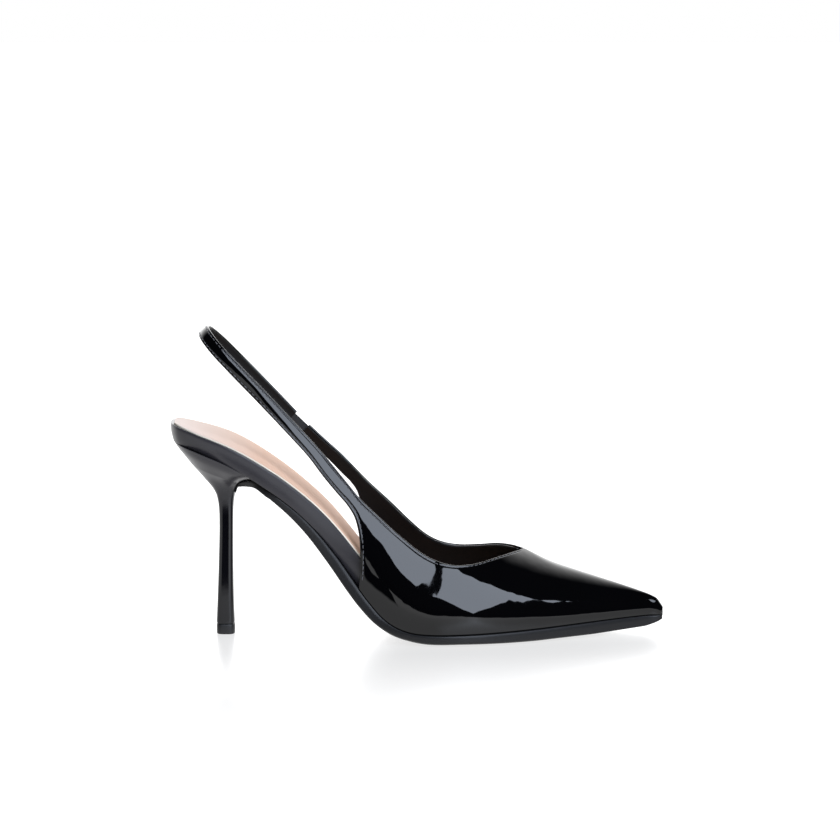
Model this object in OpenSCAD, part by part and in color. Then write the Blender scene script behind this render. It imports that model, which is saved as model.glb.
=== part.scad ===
// Pointed slingback pump on a stiletto heel, built in layers the way a shoe factory builds it.
// X runs from the heel to the toe, Y from the outer side (-) to the inner side (+), Z up from the floor.

/* [Overall] */
// Length from the back of the seat to the toe tip
shoe_length = 224; // [218:1:232]
// Width across the widest part of the upper
ball_width = 74; // [70:1:78]
// Height of the top of the seat at its back edge
seat_height = 98; // [93:0.5:103]

/* [Upper] */
// Thickness of the patent upper
upper_t = 0.8; // [0.7:0.05:0.85]
// Thickness of the lining
lining_t = 0.7; // [0.5:0.05:0.8]
// Space between upper and lining that the reinforcements fill
between_t = 0.6; // [0.6:0.05:0.8]
// Distance of the stitching from an edge
stitch_inset = 1.6; // [1.2:0.1:2.2]
// Diameter of the sewing thread
thread_d = 0.45; // [0.3:0.05:0.6]

/* [Sling] */
// Width of the sling strap
strap_w = 6.4; // [5:0.2:7]
// Thickness of the strap's outer leather
strap_t = 0.9; // [0.7:0.05:1.1]
// Width of the elastic
elastic_w = 3.8; // [3:0.2:5]

/* [Bottom] */
// Thickness of the patent wrap round the insole
wrap_t = 0.7; // [0.5:0.05:0.8]
// Thickness of the heel cover
cover_t = 0.7; // [0.5:0.05:0.8]
// Height of the replaceable heel tip
tip_h = 4.8; // [4:0.2:6]
// Diameter of the steel tube in the heel stem
pin_d = 3; // [2.5:0.1:3.4]

/* [Hidden] */

// Scales from the drawn proportions to the driving dimensions
kx = shoe_length / 224;
ky = ball_width / 74;
kz = seat_height / 98;
toe_x = 112.5;
toe_y = 4;
toe_low = 7.6;
toe_high = 10.9;
corner_x = -26.6;
throat_x = 49;

// Lower edge of the wrapped insole and of the upper, where they meet sole and heel: x, z
FEATHER = [[-111.5, 89.6], [-98.8, 86.1], [-84, 79.9], [-71, 71.9], [-57, 61.6], [-46.5, 51.3],
    [-36.5, 38.9], [-27.6, 26.4], [-21.9, 18.8], [-15.5, 11.8], [-8, 7.3], [1, 5.4], [20, 5.3],
    [50, 6], [83, 7.4], [105, 7.9], [112, 7.6]];
// Upper rim of the wrapped insole: x, z
RIM = [[-111.5, 98], [-101, 94.7], [-84, 88.5], [-67, 78.7], [-53, 68.3], [-40, 56.2], [-26, 39],
    [-18, 27.8], [-8, 17], [3, 11], [14, 9.2], [30, 9.2], [60, 10.2], [90, 11.4], [112, 11]];
// Outline of the bottom seen from above: x, outer side, inner side
PLAN = [[-111.5, -2, 2], [-110.6, -8, 7.6], [-107, -14.8, 14], [-100, -20.3, 19.2], [-88, -24.3, 23],
    [-75, -25, 23], [-60, -23.9, 20.6], [-45, -23, 18.6], [-33, -23.8, 18.8], [-20, -27.2, 22.2],
    [-8, -31.4, 27.4], [5, -34.6, 32.6], [18, -35.1, 35.1], [32, -32.4, 34.4], [48, -26.9, 29.6],
    [65, -19.7, 23], [82, -11.6, 16.7], [97, -3.9, 11], [106, 0.4, 7.8], [111.2, 1.9, 6.1],
    [113, 3.5, 4.5]];
// Sections of the last: x, crest y, crest z, wall rise, wall bulge, crest width, crest drop
LAST = [[-44, 0, 110, 0.36, 4.5, 0.8, 0.02], [-26, 0, 92, 0.34, 4.5, 0.74, 0.02],
    [0, 0, 57, 0.34, 5, 0.72, 0.04], [20, 1, 50, 0.36, 5.6, 0.68, 0.05],
    [35, 1.6, 44.5, 0.36, 5.8, 0.62, 0.08], [49, 2.4, 38.8, 0.37, 5.8, 0.57, 0.12],
    [60, 3.1, 34.3, 0.38, 5, 0.55, 0.12], [83, 4.2, 26.1, 0.4, 3.6, 0.56, 0.1],
    [101, 4.2, 19.5, 0.44, 2, 0.58, 0.06], [109.4, 4.1, 15.7, 0.5, 1, 0.6, 0.04],
    [111.6, 4.1, 12.9, 0.5, 0.5, 0.6, 0.02], [113, 4, 10.5, 0.5, 0.2, 0.6, 0]];
// Toplines from the sling to the throat, outer and inner side: x, z
TOP_OUTER = [[-31, 72.2], [-25.2, 65.2], [-17, 57.4], [-7.9, 49.2], [1.2, 42], [9, 38], [17, 36.2],
    [26, 36.2], [35, 37.6], [43, 38.6], [49, 38.8]];
TOP_INNER = [[-29.6, 75.6], [-22.5, 68.1], [-11.5, 57.7], [-2, 48.2], [5, 42], [12, 38.3], [20, 36.9],
    [29, 37.8], [37, 39.6], [44, 40], [49, 38.8]];
// Rear edges of the quarters from the sling down to the feather line: x, z
REAR_OUTER = [[-35.7, 67.8], [-31.4, 62.7], [-28.2, 57.2], [-26.4, 49.8], [-25.8, 41], [-26, 33],
    [-26.6, 25.1]];
REAR_INNER = [[-34.4, 71.3], [-30.4, 67.1], [-27.4, 61.9], [-25.8, 53.2], [-25.6, 43], [-26, 33],
    [-26.6, 25.1]];
// Middle line of the sling from the outer root round the heel to the inner end: x, y, z
SLING = [[-33.2, -21.7, 70], [-39, -20.6, 77.4], [-47, -19.2, 86.9], [-57, -17.8, 97.6],
    [-69, -17.1, 110.3], [-81, -16.9, 122.7], [-89.6, -14.4, 131.5], [-94.6, -8.2, 136.8],
    [-96.4, 0, 138.9], [-94.6, 8.2, 137], [-89.6, 14.4, 131.6], [-81, 16.9, 122.5],
    [-69, 17.3, 110], [-57.4, 17.9, 97.6]];
// Middle line of the inner tab from the quarter to the elastic: x, y, z, half width
TAB = [[-31.9, 16.4, 73.5, 3.1], [-37.5, 16.8, 79, 3.3], [-44.5, 17.3, 85.4, 3.3], [-51.4, 17.7, 91.9, 3.2]];
// Direction across the sling, and the two hinge points of its roots
across = [0.719, 0, 0.695];
pivot = [-33.1, 0, 71];
fold_back = 27;
fold_forward = 22;
hinge_gap = 0.45;
// Path of the top of the outsole from the lip on the heel breast forward: x, z
LIP = [[-82.5, 65.6], [-81.5, 69.2], [-77.6, 71.5], [-72.4, 71.7], [-66, 68.1]];
// Half widths of the lip, and outsole thickness along its length
LIP_W = [[-82.5, 4.8], [-81.5, 7.6], [-77.6, 12.6], [-72.4, 18], [-66, 21.2]];
SOLE_T = [[-83, 0.4], [-81.5, 1.7], [-77, 2.7], [-66, 2.9], [-50, 4.2], [-37, 5.2], [-26, 5.5], [-13, 5], [-4, 5.1],
    [5, 5.6], [20, 5.6], [50, 6.1], [62, 5.8], [83, 5.4], [100, 4.9], [106, 4.3], [113, 1.6]];
// Distance of the outsole's edge inside the outline, and of the wrapped insole's edge
SOLE_IN = [[-84, 2.6], [-60, 2.2], [-40, 1.2], [-20, 0.1], [0, -0.5], [60, -0.6], [112, -0.1]];
WRAP_IN = [[-112, 0], [-55, 0], [-30, 2.5], [-15, 2.7]];
// Height of the insole board's underside over the feather line, square to it
BOARD_UP = [[-112, 3.6], [-30, 3.6], [-15, 3.4], [0, 2.1], [12, 1.15], [112, 1.15]];
// Heel sections from the seat down: back x z, front x z, half width, back and front roundness
HEEL = [[-110.9, 89.1, -72.9, 72.5, 24.4, 2, 6], [-108.4, 85.7, -76.8, 72.1, 21.4, 2.1, 5],
    [-103.3, 79.6, -80.3, 70.9, 15.4, 2.2, 4], [-97.6, 72.9, -82.1, 68.8, 9.6, 2.4, 3.6],
    [-92.8, 66.9, -82.9, 65.2, 6.2, 2.8, 3.4], [-90.9, 61.5, -83.6, 60.5, 4.7, 3.2, 3.4],
    [-90.3, 52.4, -83.9, 52.4, 4, 3.6, 3.6], [-90.7, 34, -84, 34, 4.1, 3.6, 3.6],
    [-91.4, 16, -83.8, 16, 4.4, 3.6, 3.6], [-91.9, 4.9, -83.4, 4.9, 4.7, 3.6, 3.6]];

// ---------- interpolation ----------
function piece(p, x, i = 0) = i >= len(p) - 2 || x < p[i + 1][0] ? i : piece(p, x, i + 1);
function rise(p, i) =
    let (a = max(i - 1, 0), b = min(i + 1, len(p) - 1))
    (p[b] - p[a]) / (p[b][0] - p[a][0]);
// The row of a table at x, on a smooth curve through its rows
function at(p, x) =
    let (i = piece(p, x), h = p[i + 1][0] - p[i][0], t = (x - p[i][0]) / h)
    let (u = min(max(t, 0), 1), v = 1 - u)
    p[i] * (1 + 2 * u) * v * v + p[i + 1] * (3 - 2 * u) * u * u
    + rise(p, i) * h * u * v * v - rise(p, i + 1) * h * u * u * v;
// A point on a smooth curve through a list of points, at t from 0 to 1
function ghost(p, i) =
    i < 0 ? 2 * p[0] - p[1] : i >= len(p) ? 2 * p[len(p) - 1] - p[len(p) - 2] : p[i];
function along(p, t) =
    let (s = t * (len(p) - 1), i = min(floor(s), len(p) - 2), f = s - i)
    let (a = ghost(p, i - 1), b = p[i], c = p[i + 1], d = ghost(p, i + 2))
    (2 * b + (c - a) * f + (2 * a - 5 * b + 4 * c - d) * f * f
    + (3 * b - a - 3 * c + d) * f * f * f) / 2;
function mix(a, b, t) = a + (b - a) * t;
function unit(v) = v / norm(v);
function eased(t) = (1 - cos(180 * t)) / 2;
function sized(p) = [p.x * kx, p.y * ky, p.z * kz];

// ---------- bottom of the shoe ----------
function feather(x) = kz * at(FEATHER, x)[1];
function rim(x) = kz * at(RIM, x)[1];
// Vertical share of a thickness measured square to the feather line
function steep(x) = let (d = (feather(x + 0.5) - feather(x - 0.5)) / kx) sqrt(1 + d * d);
function edge(x, side) = ky * at(PLAN, x)[side < 0 ? 1 : 2];
// Crossways share of an inset measured square to the outline
function slant(x, side) = let (d = (edge(x + 0.3, side) - edge(x - 0.3, side)) / (0.6 * kx)) min(sqrt(1 + d * d), 4);
// Points across the bottom at x, inset from the outline, v from -1 to 1
function across_at(x, inset, v) =
    let (a = edge(x, -1) + inset * slant(x, -1), b = edge(x, 1) - inset * slant(x, 1), m = (a + b) / 2,
        w = max((b - a) / 2, 0.4))
    m + w * v;
function spread(a, b, n) = [for (i = [0:n]) mix(a, b, eased(i / n))];
// Stations along the shoe from x0 to x1, the same ones for every layer so that their faces run parallel
station = 4.5;
function stations(x0, x1) =
    concat([x0], [for (k = [ceil(x0 / station + 0.3):floor(x1 / station - 0.3)]) k * station], [x1]);
// A flat layer between two heights over the outline
module layer(x0, x1, inset, low, high, m = 4, bow = 0) {
    xs = stations(x0, x1);
    sheet_top = [for (x = xs) [for (j = [0:m]) let (v = 2 * j / m - 1)
        [x * kx, across_at(x, inset(x), v), high(x) + bow * (1 - v * v)]]];
    sheet_low = [for (x = xs) [for (j = [0:m]) let (v = 2 * j / m - 1)
        [x * kx, across_at(x, inset(x), v), low(x)]]];
    slab(sheet_top, sheet_low);
}

// ---------- solids from grids of points ----------
// A solid between two grids; a pair of rows and columns is one four-sided patch
module slab(top, low) {
    n = len(top) - 1;
    m = len(top[0]) - 1;
    half = (n + 1) * (m + 1);
    function at_top(i, j) = i * (m + 1) + j;
    function at_low(i, j) = half + at_top(i, j);
    polyhedron(
        points = concat([for (r = top) each r], [for (r = low) each r]),
        faces = concat(
            [for (i = [0:n - 1], j = [0:m - 1]) each
                split(at_top(i, j), at_top(i, j + 1), at_top(i + 1, j + 1), at_top(i + 1, j))],
            [for (i = [0:n - 1], j = [0:m - 1]) each
                split(at_low(i, j), at_low(i + 1, j), at_low(i + 1, j + 1), at_low(i, j + 1))],
            [for (i = [0:n - 1]) each split(at_top(i + 1, 0), at_low(i + 1, 0), at_low(i, 0), at_top(i, 0))],
            [for (i = [0:n - 1]) each split(at_top(i, m), at_low(i, m), at_low(i + 1, m), at_top(i + 1, m))],
            [for (j = [0:m - 1]) each split(at_top(0, j), at_low(0, j), at_low(0, j + 1), at_top(0, j + 1))],
            [for (j = [0:m - 1]) each split(at_top(n, j + 1), at_low(n, j + 1), at_low(n, j), at_top(n, j))]));
}
function split(a, b, c, d) = [[a, b, c], [a, c, d]];
// A solid through closed rings of points, with flat fans or strips at its ends
module loft(rings) {
    n = len(rings) - 1;
    m = len(rings[0]);
    polyhedron(
        points = [for (r = rings) each r],
        faces = concat(
            [for (i = [0:n - 1], j = [0:m - 1]) let (k = (j + 1) % m) each
                split(i * m + j, i * m + k, (i + 1) * m + k, (i + 1) * m + j)],
            strips(0, m, 1),
            strips(n * m, m, -1)));
}
// Cap of a ring whose points j and m - j face each other
function strips(s, m, way) =
    [for (j = [0:m / 2 - 1]) let (a = s + j, b = s + j + 1, c = s + (m - j - 1) % m, d = s + (m - j) % m)
        each [for (f = [[a, d, c], [a, c, b]]) if (f[0] != f[1] && f[1] != f[2] && f[0] != f[2])
            way > 0 ? f : [f[2], f[1], f[0]]]];
// A sleeve between an outer and an inner stack of rings, open at both ends
module sleeve(outer, inner) {
    n = len(outer) - 1;
    m = len(outer[0]);
    half = (n + 1) * m;
    polyhedron(
        points = concat([for (r = outer) each r], [for (r = inner) each r]),
        faces = concat(
            [for (i = [0:n - 1], j = [0:m - 1]) let (k = (j + 1) % m) each
                split(i * m + j, i * m + k, (i + 1) * m + k, (i + 1) * m + j)],
            [for (i = [0:n - 1], j = [0:m - 1]) let (k = (j + 1) % m) each
                split(half + i * m + j, half + (i + 1) * m + j, half + (i + 1) * m + k, half + i * m + k)],
            [for (j = [0:m - 1]) let (k = (j + 1) % m) each split(half + j, half + k, k, j)],
            [for (j = [0:m - 1]) let (k = (j + 1) % m) each
                split(n * m + j, n * m + k, half + n * m + k, half + n * m + j)]));
}
// A thin thread with a square section along a list of points
module thread(path, out) {
    r = thread_d / 2;
    loft([for (i = [0:len(path) - 1])
        let (d = unit(path[min(i + 1, len(path) - 1)] - path[max(i - 1, 0)]), u = unit(out[i]),
            w = cross(d, u), p = path[i])
        [p + u * r, p + w * r, p - u * r, p - w * r]]);
}

// ---------- upper ----------
function bezier(a, b, c, d, t) =
    let (s = 1 - t) a * s * s * s + 3 * b * s * s * t + 3 * c * s * t * t + d * t * t * t;
// The last's surface at x, t from the feather line to the crest
function last(x, t, side) =
    let (r = at(LAST, x), foot = [x, at(PLAN, x)[side < 0 ? 1 : 2], at(FEATHER, x)[1]],
        crest = [x, r[1], r[2]], h = r[2] - foot.z, w = abs(foot.y - r[1]))
    bezier(foot, foot + [0, side * r[4], r[3] * h], crest + [0, side * r[5] * w, -r[6] * h], crest, t);
// Where the last reaches a height at x
function height_at(x, z, side, lo = 0, hi = 1, n = 14) =
    n == 0 ? (lo + hi) / 2 : let (m = (lo + hi) / 2)
        last(x, m, side).z < z ? height_at(x, z, side, m, hi, n - 1) : height_at(x, z, side, lo, m, n - 1);
// Rows of the upper: quarter rows end on its rear edge, vamp rows on the feather line
rear_rows = 9;
wall_rows = 11;
toe_rows = 12;
throat_row = rear_rows + wall_rows;
last_row = throat_row + toe_rows;
cols = 8;
function row_low(i, side) =
    i <= rear_rows ? let (p = along(side < 0 ? REAR_OUTER : REAR_INNER, i / rear_rows))
        [p.x, height_at(p.x, p.y, side)]
    : i <= throat_row ? [mix(corner_x, throat_x, (i - rear_rows) / wall_rows), 0]
    : [mix(throat_x, toe_x, sin(90 * (i - throat_row) / toe_rows)), 0];
function row_top(i, side) =
    i <= throat_row ? let (p = along(side < 0 ? TOP_OUTER : TOP_INNER, i / throat_row))
        [p.x, height_at(p.x, p.y, side)]
    : [row_low(i, side).x, 1];
function wall_point(i, f, side) =
    i == last_row ? [toe_x, toe_y, mix(toe_low, toe_high, f)]
    : let (p = mix(row_low(i, side), row_top(i, side), f)) last(p.x, p.y, side);
function wall(side) =
    [for (i = [0:last_row]) [for (j = [0:cols]) sized(wall_point(i, j / cols, side))]];
function slope_of(g, i, j, side) =
    i == last_row ? [1, 0, 0]
    : let (a = g[min(i + 1, last_row)][j] - g[max(i - 1, 0)][j], b = g[i][min(j + 1, cols)] - g[i][max(j - 1, 0)])
        j == cols && i >= throat_row ? unit(cross(a, [0, 1, 0])) : unit(cross(a, b)) * -side;
wall_outer = wall(-1);
wall_inner = wall(1);
normals_outer = [for (i = [0:last_row]) [for (j = [0:cols]) slope_of(wall_outer, i, j, -1)]];
normals_inner = [for (i = [0:last_row]) [for (j = [0:cols]) slope_of(wall_inner, i, j, 1)]];
function wall_of(side) = side < 0 ? wall_outer : wall_inner;
function normals_of(side) = side < 0 ? normals_outer : normals_inner;
// A point of the wall moved in by a depth; in the solid toe tip the hollow shrinks to its middle
function inward(side, i, j, depth) =
    let (p = wall_of(side)[i][j], mid = toe_y * ky)
    i < last_row - 1 || depth == 0 ? p - normals_of(side)[i][j] * depth
    : let (mid_z = (wall_of(side)[i][0].z + wall_of(side)[i][cols].z) / 2 + 0.8, s = i == last_row ? 0.5 : 0.35)
        [p.x - depth, mid + (p.y - mid) * s, mid_z + (p.z - mid_z) * s];
// A skin of the wall between two depths; vamp rows start above the lasting margin
function moved(side, depth, rows, from = 0, to = cols) =
    [for (i = rows) [for (j = [from:to])
        j == 0 && i > rear_rows ? mix(inward(side, i, 0, depth), inward(side, i, 1, depth), 0.75)
        : inward(side, i, j, depth)]];
module skin(side, near, far, rows, from = 0, to = cols) {
    a = moved(side, near, rows, from, to);
    b = moved(side, far, rows, from, to);
    if (side < 0) slab(a, b);
    else slab(b, a);
}
// Both sides of the upper as one closed shell, joined along the crest, and at the toe tip if tip is set
module shell(near_l, near_r, far_l, far_r, meet, tip = false) {
    n = len(near_l) - 1;
    m = len(near_l[0]) - 1;
    size = (n + 1) * (m + 1);
    function id(k, s, i, j) =
        k * size + (s < 0 || (tip && i == n) || (j == m && i >= meet) ? 0 : 2 * size) + i * (m + 1) + j;
    function face(s, a, b, c, d) = s < 0 ? split(a, b, c, d) : split(a, d, c, b);
    polyhedron(
        points = [for (g = [near_l, far_l, near_r, far_r], r = g) each r],
        faces = [for (s = [-1, 1]) each concat(
            [for (i = [0:n - 1], j = [0:m - 1]) each
                face(s, id(0, s, i, j), id(0, s, i, j + 1), id(0, s, i + 1, j + 1), id(0, s, i + 1, j))],
            [for (i = [0:n - 1], j = [0:m - 1]) each
                face(-s, id(1, s, i, j), id(1, s, i, j + 1), id(1, s, i + 1, j + 1), id(1, s, i + 1, j))],
            [for (i = [0:n - 1]) each
                face(s, id(0, s, i, 0), id(0, s, i + 1, 0), id(1, s, i + 1, 0), id(1, s, i, 0))],
            [for (i = [0:meet - 1]) each
                face(-s, id(0, s, i, m), id(0, s, i + 1, m), id(1, s, i + 1, m), id(1, s, i, m))],
            [for (j = [0:m - 1]) each
                face(-s, id(0, s, 0, j), id(0, s, 0, j + 1), id(1, s, 0, j + 1), id(1, s, 0, j))],
            tip ? [] : [for (j = [0:m - 1]) each
                face(s, id(0, s, n, j), id(0, s, n, j + 1), id(1, s, n, j + 1), id(1, s, n, j))])]);
}
// Width of the lasting margin that the upper turns in under the insole
function margin(x) = min(9, 0.35 * (edge(x, 1) - edge(x, -1))) * min(1, max(0.12, (x + 19) / 10));
margin_t = 0.9;
// Rows of the patent upper, each led by its lasting margin or by the rounded rim of the rear edge
function lasted(side, depth) =
    [for (i = [0:last_row]) let (q = wall_of(side)[i][0], x = q.x / kx,
            lift = depth > 0 ? margin_t * steep(x) : 0.05, turn = depth > 0 ? 0.6 : 0.3)
        concat(
            [i == last_row ? q + [-1.2, 0, lift]
                : i > rear_rows ? [q.x, q.y - side * margin(x), feather(x) + lift]
                : inward(side, i, 0, upper_t * turn) - unit(wall_of(side)[i][1] - q) * 0.12],
            [i > rear_rows && depth > 0 ? let (p = inward(side, i, 0, depth)) [p.x, p.y, feather(x) + lift]
                : inward(side, i, 0, depth)],
            [for (j = [1:cols]) inward(side, i, j, depth)])];
lining_near = upper_t + between_t + 0.05;
lining_far = lining_near + lining_t;
lining_end = throat_row + 8;
puff_start = throat_row + 4;

module upper_outer()
    color("#101012")
        shell(lasted(-1, 0), lasted(1, 0), lasted(-1, upper_t), lasted(1, upper_t), throat_row, true);
module upper_lining()
    color("#1b1a1a")
        shell(moved(-1, lining_near, [0:lining_end]), moved(1, lining_near, [0:lining_end]),
            moved(-1, lining_far, [0:lining_end]), moved(1, lining_far, [0:lining_end]), throat_row);
module vamp_interlining()
    color("#8c8a86")
        for (side = [-1, 1])
            skin(side, upper_t + 0.1, upper_t + 0.5, [1:puff_start - 1], 1, cols - 1);
module toe_puff() {
    rows = [puff_start:lining_end];
    color("#b9a98a")
        shell(moved(-1, upper_t + 0.1, rows, 1), moved(1, upper_t + 0.1, rows, 1),
            moved(-1, upper_t + 0.5, rows, 1), moved(1, upper_t + 0.5, rows, 1), 0);
}
// Tape between upper and lining, a few millimetres wide along the topline
tape_w = 3;
function tape(side, depth) =
    [for (i = [0:throat_row - 1]) let (a = inward(side, i, cols, depth), b = inward(side, i, cols - 1, depth))
        [a + unit(b - a) * min(tape_w, 0.8 * norm(b - a)), a + unit(b - a) * 0.2]];
module topline_tape_lateral() color("#dcd8cf") slab(tape(-1, upper_t + 0.15), tape(-1, upper_t + 0.4));
module topline_tape_medial() color("#dcd8cf") slab(tape(1, upper_t + 0.4), tape(1, upper_t + 0.15));
// A stitch line at the stitch inset from the topline or from the rear edge
function stitched(side, i, j, k) =
    let (a = wall_of(side)[i][j], b = wall_of(side)[i][k])
    a + unit(b - a) * stitch_inset + normals_of(side)[i][j] * (thread_d / 2 + 0.1);
module topline_stitching()
    color("#26262a")
        for (side = [-1, 1])
            thread([for (i = [0:throat_row - 1]) stitched(side, i, cols, cols - 1)],
                [for (i = [0:throat_row - 1]) normals_of(side)[i][cols]]);
module quarter_stitching()
    color("#26262a")
        for (side = [-1, 1])
            thread([for (i = [1:rear_rows]) stitched(side, i, 0, 1)],
                [for (i = [1:rear_rows]) normals_of(side)[i][0]]);

// ---------- insole and its layers ----------
// Nails and rivets stand square to the seat: x, y
NAILS = [[-99.5, -9], [-99.5, 9], [-86, -11], [-86, 11]];
RIVETS = [[-76, 0], [-36, 0]];
screw_x = -90;
nail_r = 0.9;
screw_r = 1.7;
rivet_r = 1.5;
function tilt(x) = atan((rim(x + 1) - rim(x - 1)) / (2 * kx));
// A round peg along the layers at x, y, from one height to another measured square to the rim
module peg(x, y, r, low, high)
    translate([x * kx, y * ky, rim(x)]) rotate([0, -tilt(x), 0]) translate([0, 0, low])
        cylinder(r = r, h = high - low, $fn = 24);
function wrap_inset(x) = at(WRAP_IN, x)[1];
function board_low(x) = feather(x) + at(BOARD_UP, x)[1] * steep(x);
function board_top(x) = rim(x) - (wrap_t + 0.2) * steep(x);
board_inset = function(x) wrap_inset(x) + wrap_t + 0.2 + (x > -22 ? min(1.6, (x + 22) / 5) : 0);
module insole_board()
    color("#a98a5f")
        difference() {
            layer(-109.9, 98, board_inset, function(x) board_low(x), function(x) board_top(x));
            for (p = NAILS) peg(p.x, p.y, nail_r + 0.02, -8, 4);
            for (p = NAILS) peg(p.x, p.y, 2.1, -1.7, 4);
            peg(screw_x, 0, screw_r + 0.02, -8, 4);
            peg(screw_x, 0, 3.7, -2, 4);
        }
module shank_board()
    color("#7d6a4c")
        difference() {
            layer(-107, -4, function(x) wrap_inset(x) + wrap_t + 0.9 + (x > -22 ? min(2, (x + 22) / 5) : 0),
                function(x) feather(x) + 1.15 * steep(x),
                function(x) board_low(x) - 0.12 * steep(x));
            for (p = NAILS) peg(p.x, p.y, nail_r + 0.02, -14, 4);
            peg(screw_x, 0, screw_r + 0.02, -14, 4);
            for (p = RIVETS) peg(p.x, p.y, rivet_r + 0.02, -16, 4);
        }
function mid_inset(x, half) = ((edge(x, 1) - edge(x, -1)) / 2 - half) / max(slant(x, -1), slant(x, 1));
module shank_steel()
    color("#8f959c")
        difference() {
            layer(-87, -16, function(x) mid_inset(x, 5),
                function(x) feather(x) + 0.15 * steep(x), function(x) feather(x) + 0.95 * steep(x), 2);
            for (p = RIVETS) peg(p.x, p.y, rivet_r + 0.02, -16, 4);
        }
module shank_rivets()
    color("#b7babd")
        for (p = RIVETS)
            peg(p.x, p.y, rivet_r, -(rim(p.x) - feather(p.x)) / steep(p.x) + 0.3,
                -(rim(p.x) - board_low(p.x)) / steep(p.x) - 0.25);
module bottom_filler()
    color("#c8ab78")
        layer(-2, 96, function(x) margin(x) + 0.5, function(x) feather(x) + 0.08,
            function(x) feather(x) + 0.95);
function sock_inset(x) = x < -40 ? 1.3 : x > -26 ? 3.2 : mix(1.3, 3.2, (x + 40) / 14);
module sock()
    color("#e3bfa8")
        layer(-110.2, 94, function(x) sock_inset(x), function(x) rim(x) + 0.12 * steep(x),
            function(x) rim(x) + 0.9 * steep(x), 6, 0.5);
module heel_pad()
    color("#e8e2d0")
        layer(-104.5, -64, function(x) 6.4, function(x) board_top(x) + 0.08, function(x) rim(x) - 0.06);
module forefoot_pad()
    color("#e8e2d0")
        layer(-6, 44, function(x) 7, function(x) board_top(x) + 0.08, function(x) rim(x) - 0.06);
// Patent cover folded round the edge of the insole, from the inner waist round the seat to the outer waist
wrap_flange = 4.8;
wrap_front = -21;
wrap_xs = concat([-111.45, -111.2, -110.6, -109.6], stations(-108, wrap_front));
wrap_line = concat(
    [for (k = [len(wrap_xs) - 1:-1:0]) let (x = wrap_xs[k]) [x * kx, edge(x, 1) - wrap_inset(x), 0]],
    [for (x = wrap_xs) [x * kx, edge(x, -1) + wrap_inset(x), 0]]);
function wrap_in(k) =
    let (a = wrap_line[max(k - 1, 0)], b = wrap_line[min(k + 1, len(wrap_line) - 1)]) unit(cross([0, 0, 1], b - a));
function wrap_point(k, inset, base, up) =
    let (q = wrap_line[k] + wrap_in(k) * inset, x = q.x / kx)
    [q.x, q.y, (base > 0 ? rim(x) : feather(x)) + up * steep(x)];
module insole_wrap()
    color("#101012")
        slab(
            [for (k = [0:len(wrap_line) - 1]) [wrap_point(k, wrap_flange, 0, 0.1), wrap_point(k, 0, 0, 0.1),
                wrap_point(k, 0, 1, -0.5), wrap_point(k, 0.5, 1, 0), wrap_point(k, wrap_flange, 1, 0)]],
            [for (k = [0:len(wrap_line) - 1]) [wrap_point(k, wrap_flange, 0, 0.1 + wrap_t),
                wrap_point(k, wrap_t, 0, 0.1 + wrap_t), wrap_point(k, wrap_t, 1, -0.5 - wrap_t),
                wrap_point(k, 0.5 + wrap_t, 1, -wrap_t), wrap_point(k, wrap_flange, 1, -wrap_t)]]);

// ---------- outsole ----------
lip_steps = 12;
sole_front = 112.3;
sole_rows = concat(
    [for (i = [0:lip_steps - 1]) let (p = along(LIP, i / lip_steps)) [p.x, p.y]],
    [for (x = [-65:5:-25]) [x, at(FEATHER, x)[1] - 0.12]],
    [for (x = [-21:4:7]) [x, at(FEATHER, x)[1] - 0.12]],
    [for (x = spread(14, sole_front, 12)) [x, at(FEATHER, x)[1] - 0.12]]);
function sole_up(i) =
    let (a = sole_rows[max(i - 1, 0)], b = sole_rows[min(i + 1, len(sole_rows) - 1)], d = unit(b - a))
    [-d.y, d.x];
function sole_edge(i, side) =
    let (x = sole_rows[i].x)
    i < lip_steps ? side * ky * at(LIP_W, x)[1] - (side > 0 ? 0.8 : 0)
    : edge(x, side) - side * at(SOLE_IN, x)[1];
// Part of the thickness lost at the rounded lower edge
function round_off(x) = x < -60 ? 0.3 : x < -10 ? mix(0.3, 2.5, (x + 60) / 50) : x < 50 ? 2.5 : mix(2.5, 0.7, (x - 50) / 62);
function sole_point(i, v, low) =
    let (p = sole_rows[i], u = sole_up(i), a = sole_edge(i, -1), b = sole_edge(i, 1),
        full = at(SOLE_T, p.x)[1], t = low ? full - round_off(p.x) * pow(abs(v), 6) : 0)
    [(p.x - u.x * t) * kx, mix(a, b, (v + 1) / 2), (p.y - u.y * t) * kz];
sole_v = [-1, -0.86, -0.6, 0, 0.6, 0.86, 1];
module outsole()
    color("#1a1a1c")
        difference() {
            slab([for (i = [0:len(sole_rows) - 1]) [for (v = sole_v) sole_point(i, v, false)]],
                [for (i = [0:len(sole_rows) - 1]) [for (v = sole_v) sole_point(i, v, true)]]);
            translate([-60, -60, -20]) cube([200, 120, 20]);
        }

// ---------- heel ----------
ring_n = 24;
function heel_point(k, phi, inset) =
    let (r = HEEL[k], c = cos(phi), s = sin(phi), e = c > 0 ? r[5] : r[6],
        q = pow(pow(abs(c), e) + pow(abs(s), e), -1 / e),
        f = 0.5 - 0.5 * q * c, xb = r[0] + inset, xf = r[2] - inset,
        x = mix(xb, xf, f), line = mix(r[1], r[3], (x - r[0]) / (r[2] - r[0])),
        seat = mix(HEEL[0][1], HEEL[0][3], (x - HEEL[0][0]) / (HEEL[0][2] - HEEL[0][0])),
        hump = max(0, 1 - k / 2) * (at(FEATHER, x)[1] - seat))
    [x * kx, (r[4] - inset) * q * s * ky, (line + hump - (k == 0 ? 0.25 : 0)) * kz];
function heel_ring(k, inset) = [for (j = [0:ring_n - 1]) heel_point(k, 360 * j / ring_n, inset)];
function heel_rings(inset) = [for (k = [len(HEEL) - 1:-1:0]) heel_ring(k, inset)];
stem_x = -87.6;
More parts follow.
